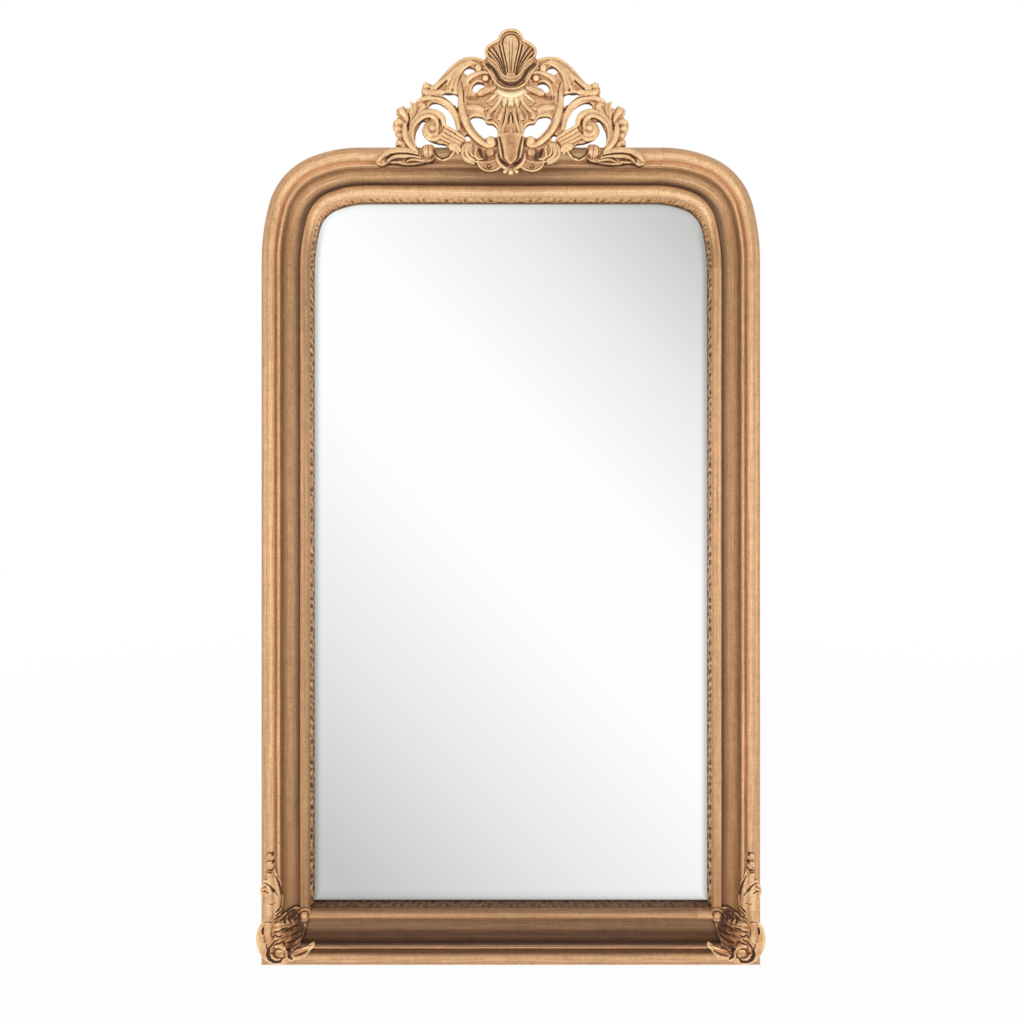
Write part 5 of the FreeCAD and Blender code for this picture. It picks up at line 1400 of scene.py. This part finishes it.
class CrestShell(BuildOperator, bpy.types.Operator):
    """Carves the shell, its channelled collar and the palmette below"""

    bl_idname = "gilt_mirror.crest_shell"
    bl_label = "Shell, collar and palmette"

    def execute(self, context):
        relief = context.scene.gilt_mirror_sizes.relief
        ribs = [(SHELL_RIM_RISE, whole_path(SHELL_RIM))] + both_sides(SHELL_RIBS) + SHELL_DROP
        shell = [plate([both_halves(SHELL_OUTLINE)], -SHELL_STAND, 0.0), strokes_mesh(ribs, relief)]
        self.on_crest(context, "shell", shell, both_sides(SHELL_CUTS), both_sides(SHELL_LIGHT_AND_TONE))
        collar = [strokes_mesh([(rise, whole_path(half)) for rise, half in COLLAR], relief)]
        self.on_crest(context, "collar", collar, channel(*COLLAR_CUT, COLLAR_CHANNEL))
        palmette = [plate([both_halves(PALMETTE_OUTLINE)], -PALMETTE_STAND, 0.0),
                    strokes_mesh(both_sides(PALMETTE), relief)]
        self.on_crest(context, "palmette", palmette, both_sides(PALMETTE_CUTS),
                      both_sides(PALMETTE_LIGHT_AND_TONE))
        return {"FINISHED"}


class CrestUrn(BuildOperator, bpy.types.Operator):
    """Carves the square urn and the lobed bud under it"""

    bl_idname = "gilt_mirror.crest_urn"
    bl_label = "Urn and bud"

    def execute(self, context):
        body = [(-x, z) for x, z in URN_OUTLINE] + list(reversed(URN_OUTLINE[:-1]))
        urn = [
            plate([body], -URN_STAND, 0.0),
            strokes_mesh([(URN_LIP_RISE, whole_path(URN_LIP))], 1.0),
            strokes_mesh(both_sides(BUD), context.scene.gilt_mirror_sizes.relief),
        ]
        self.on_crest(context, "urn", urn, channel(*URN_CUT, URN_RECESS), both_sides(URN_LIGHT_AND_TONE))
        return {"FINISHED"}


class CrestLeaves(BuildOperator, bpy.types.Operator):
    """Carves the two aprons and the two foot leaves over the top rail"""

    bl_idname = "gilt_mirror.crest_leaves"
    bl_label = "Aprons and foot leaves"

    def execute(self, context):
        sizes = context.scene.gilt_mirror_sizes
        relief, thick = sizes.relief, sizes.applied_thickness / MM
        back, grain = sizes.board_thickness / MM, sizes.fine_grain / MM
        strokes = [(thick, APRON_RIM)] + APRON_VEINS
        apron = [
            plate([APRON_OUTLINE], -APRON_STAND, back),
            plate([APRON_PENDANT], PENDANT_SINK - thick, 0.0),
            strokes_mesh(strokes, relief),
            balls_mesh([(*APRON_NAIL, thick), APRON_LOBE], relief),
        ]
        foot = [
            plate([FOOT_OUTLINE], FOOT_SINK - thick, back),
            strokes_mesh(FOOT + FOOT_TENDRIL, relief),
            balls_mesh([FOOT_BALL], relief),
        ]
        for label, parts, cuts, light_and_tone in (
            ("apron", apron, APRON_CUTS, APRON_LIGHT_AND_TONE), ("foot", foot, FOOT_CUTS, FOOT_LIGHT_AND_TONE)):
            mesh = carved(parts, grain, sizes.softening, cuts, light_and_tone)
            onto_crest(mesh)
            finished_pair(label, mesh, self.gilt(context), "crest_" + label)
        return {"FINISHED"}


def over_moulding(mesh):
    """Bends a flat carving over the mouldings of the right lower corner, in metres."""
    spots = spots_of(mesh)
    inward, up = spots[:, 0], spots[:, 2]
    depth = np.interp(np.minimum(inward, up), *zip(*MOULDING_FACE))
    height = np.maximum(BOTTOM + up, BOTTOM + LEAF_CLEARANCE)
    placed = np.column_stack([HALF_WIDTH - inward, FRONT + depth + spots[:, 1], height])
    put_spots(mesh, placed * MM)
    mesh.flip_normals()


class CornerLeaves(BuildOperator, bpy.types.Operator):
    """Carves the leaves of the lower corners and the husks above them"""

    bl_idname = "gilt_mirror.corner_leaves"
    bl_label = "Corner leaves and husks"

    def execute(self, context):
        sizes = context.scene.gilt_mirror_sizes
        leaf = [
            plate([LEAF_OUTLINE], -LEAF_STAND, LEAF_SINK),
            strokes_mesh(LEAF_BODY, BODY_RELIEF),
            strokes_mesh(LEAF, LEAF_RELIEF),
            balls_mesh([LEAF_BUD], LEAF_RELIEF),
        ]
        husks = [strokes_mesh(HUSK_FORMS, HUSK_RELIEF)]
        for label, node, parts, softening, cuts, light_and_tone, deepest in (
            ("leaf", "corner_leaf", leaf, sizes.softening, LEAF_CUTS, LEAF_LIGHT_AND_TONE, -LEAF_FLOOR),
            ("husks", "husks", husks, HUSK_SOFTENING, HUSK_CUTS, (), -HUSK_FLOOR),
        ):
            mesh = carved(parts, sizes.fine_grain / MM, softening, cuts, light_and_tone, deepest)
            over_moulding(mesh)
            finished_pair(label, mesh, self.gilt(context), node)
        return {"FINISHED"}


def ring_mesh(thick):
    """A wire ring hanging up from the middle of its bar, in mm. Thick is half the wire."""
    path = [(-RING_HALF, 0.0), (-RING_HALF, RING_SIDE)]
    for degrees in range(180, -1, -30):
        a = math.radians(degrees)
        path.append((RING_HALF * math.cos(a), RING_BOW + RING_HALF * math.sin(a)))
    path += [(RING_HALF, RING_SIDE), (RING_HALF, 0.0)]
    bow = [(x, 0.0, z, thick) for x, z in path]
    bar = [(x, 0.0, 0.0, thick) for x in (-RING_HALF, 0.0, RING_HALF)]
    corners = [ball(x, 0.0, 0.0, thick) for x in (-RING_HALF, RING_HALF)]
    return fused(joined([rods([bow, bar], sides=6, steps=6)] + corners), RING_GRAIN, 3)


class HangingRings(BuildOperator, bpy.types.Operator):
    """Makes the two round wire rings, leaning on the frame's back"""

    bl_idname = "gilt_mirror.hanging_rings"
    bl_label = "Hanging rings"

    def execute(self, context):
        brass = plated_metal("ring_brass", seen(206, 182, 128))
        lean = Matrix.Rotation(math.radians(RING_LEAN), 4, "X")
        across, deep, high = RING_AXIS
        for side, sign in (("left", -1), ("right", 1)):
            mesh = ring_mesh(context.scene.gilt_mirror_sizes.ring_wire / MM / 2)
            spot = Matrix.Translation((sign * across, deep, high))
            mesh.transform(Matrix.Scale(MM, 4) @ spot @ lean)
            shaded_smooth(mesh)
            finished(side + "_ring_wire", mesh, brass,
                     [side + "_hanger_ring"], side + "_ring")
        return {"FINISHED"}


class BackFixings(BuildOperator, bpy.types.Operator):
    """Sets brads round the back board"""

    bl_idname = "gilt_mirror.back_fixings"
    bl_label = "Brads of the back board"

    def execute(self, context):
        spacing = context.scene.gilt_mirror_sizes.brad_spacing
        low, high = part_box("back_board")
        wide, tall = high[0] - low[0], high[2] - low[2]
        spots = []
        count = round((tall - 2 * BRAD_END) / spacing)
        for k in range(count + 1):
            z = low[2] + BRAD_LOW + (tall - BRAD_LOW - BRAD_HIGH) * k / count
            spots += [(low[0] + BRAD_INSET, z), (high[0] - BRAD_INSET, z)]
        count = round((wide - 2 * BRAD_END) / spacing)
        for k in range(count + 1):
            x = low[0] + BRAD_END + (wide - 2 * BRAD_END) * k / count
            spots.append((x, low[2] + BRAD_INSET))
            if abs(x) < SHOULDER_X * MM:
                spots.append((x, high[2] - BRAD_INSET))
        bm = bmesh.new()
        upright = Matrix.Rotation(math.pi / 2, 4, "X")
        for x, z in spots:
            bmesh.ops.create_cone(
                bm, cap_ends=True, segments=10, radius1=BRAD_RADII[0], radius2=BRAD_RADII[1],
                depth=BRAD_THICKNESS,
                matrix=Matrix.Translation((x, high[1] + BRAD_LIFT, z)) @ upright)
        bmesh.ops.recalc_face_normals(bm, faces=bm.faces)
        steel = plated_metal("brads", seen(150, 140, 124))
        finished("back_board_brads", mesh_of(bm, "brads"), steel, [])
        return {"FINISHED"}


def direct_rays(tree):
    """A node value of 1 for what the camera, a reflection or a clear pane shows."""
    paths = tree.nodes.new("ShaderNodeLightPath").outputs
    shown = paths["Is Camera Ray"]
    for name in ("Is Glossy Ray", "Is Transmission Ray"):
        either = tree.nodes.new("ShaderNodeMath")
        either.operation = "MAXIMUM"
        tree.links.new(shown, either.inputs[0])
        tree.links.new(paths[name], either.inputs[1])
        shown = either.outputs[0]
    return shown


class StudioStage(BuildOperator, bpy.types.Operator):
    """Sets the floor, the lights, the room's light and the camera"""

    bl_idname = "gilt_mirror.studio_stage"
    bl_label = "Stage, lights and camera"

    def execute(self, context):
        scene = context.scene
        scene.view_settings.view_transform = "Standard"
        self.floor()
        self.room(scene)
        self.lamps()
        self.camera(scene)
        return {"FINISHED"}

    def floor(self):
        bm = bmesh.new()
        bmesh.ops.create_grid(bm, x_segments=1, y_segments=1, size=FLOOR_SIZE)
        bmesh.ops.translate(bm, verts=bm.verts, vec=(0, FLOOR_MIDDLE, BOTTOM * MM - FLOOR_DROP))
        mesh = mesh_of(bm, "floor")
        finish = Finish("floor")
        bare = finish.mix(finish.noise(1.2, 2.0), seen(246, 246, 246), seen(252, 252, 252))
        shown = direct_rays(finish.tree)
        mesh.materials.append(finish.surface(finish.mix(shown, bare, (0.13, 0.13, 0.13)), 0.9))
        finish.shader.inputs["Emission Color"].default_value = (1, 1, 1, 1)
        finish.feed(finish.shader.inputs["Emission Strength"], finish.product(shown, 0.9))
        linked("floor", mesh)

    def room(self, scene):
        """White where it is seen directly, and a softer warm light otherwise."""
        scene.world = scene.world or bpy.data.worlds.new("room")
        scene.world.use_nodes = True
        tree = scene.world.node_tree
        tree.nodes.clear()
        mix, out = tree.nodes.new("ShaderNodeMixShader"), tree.nodes.new("ShaderNodeOutputWorld")
        tree.links.new(direct_rays(tree), mix.inputs[0])
        tree.links.new(mix.outputs[0], out.inputs[0])
        for socket, colour, strength in (
            (mix.inputs[1], (1.0, 0.985, 0.96, 1.0), 0.38), (mix.inputs[2], (1, 1, 1, 1), 1.0)):
            light = tree.nodes.new("ShaderNodeBackground")
            light.inputs["Color"].default_value = colour
            light.inputs["Strength"].default_value = strength
            tree.links.new(light.outputs[0], socket)

    def lamps(self):
        for name, place, aim, size, power in LAMPS:
            data = bpy.data.lights.new(name, "AREA")
            data.shape = "SQUARE"
            data.size = size
            data.energy = power
            data.color = (1.0, 0.97, 0.93)
            lamp = linked(name, data)
            lamp.visible_glossy = name != "under"
            lamp.location = place
            lamp.rotation_euler = (Vector(aim) - Vector(place)).to_track_quat("-Z", "Y").to_euler()

    def camera(self, scene):
        data = bpy.data.cameras.new("camera")
        data.sensor_width = 36.0
        data.lens = CAMERA_LENS
        data.shift_y = CAMERA_SHIFT
        data.clip_start = 0.05
        camera = linked("camera", data)
        camera.location = CAMERA_PLACE
        camera.rotation_euler = (math.pi / 2, 0, 0)
        scene.camera = camera


class GiltMirrorPanel(bpy.types.Panel):
    """Lists the mirror's pieces and the sizes and colours behind them"""

    bl_idname = "VIEW3D_PT_gilt_mirror"
    bl_label = "Gilt Mirror"
    bl_space_type = "VIEW_3D"
    bl_region_type = "UI"
    bl_category = "Gilt Mirror"

    def draw(self, context):
        for group in (context.scene.gilt_mirror_sizes, context.scene.gilt_mirror_colours):
            box = self.layout.box()
            for name in group.__annotations__:
                box.prop(group, name)
        for builder in BUILDERS:
            self.layout.operator(builder.bl_idname)


BUILDERS = (
    FinishFrame, InnerSlips, CrestScrollwork, CrestShell, CrestUrn, CrestLeaves, CornerLeaves,
    HangingRings, BackFixings, StudioStage,
)
CLASSES = (GiltMirrorSizes, GiltMirrorColours, *BUILDERS, GiltMirrorPanel)


def register():
    for made in CLASSES:
        bpy.utils.register_class(made)
    bpy.types.Scene.gilt_mirror_sizes = PointerProperty(type=GiltMirrorSizes)
    bpy.types.Scene.gilt_mirror_colours = PointerProperty(type=GiltMirrorColours)


def unregister():
    del bpy.types.Scene.gilt_mirror_colours
    del bpy.types.Scene.gilt_mirror_sizes
    for made in reversed(CLASSES):
        bpy.utils.unregister_class(made)


def main():
    register()
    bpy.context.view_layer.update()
    bpy.ops.gilt_mirror.studio_stage()
    bpy.ops.gilt_mirror.finish_frame()
    bpy.ops.gilt_mirror.inner_slips()
    bpy.ops.gilt_mirror.crest_scrollwork()
    bpy.ops.gilt_mirror.crest_shell()
    bpy.ops.gilt_mirror.crest_urn()
    bpy.ops.gilt_mirror.crest_leaves()
    bpy.ops.gilt_mirror.corner_leaves()
    bpy.ops.gilt_mirror.hanging_rings()
    bpy.ops.gilt_mirror.back_fixings()


if __name__ == "__main__":
    main()
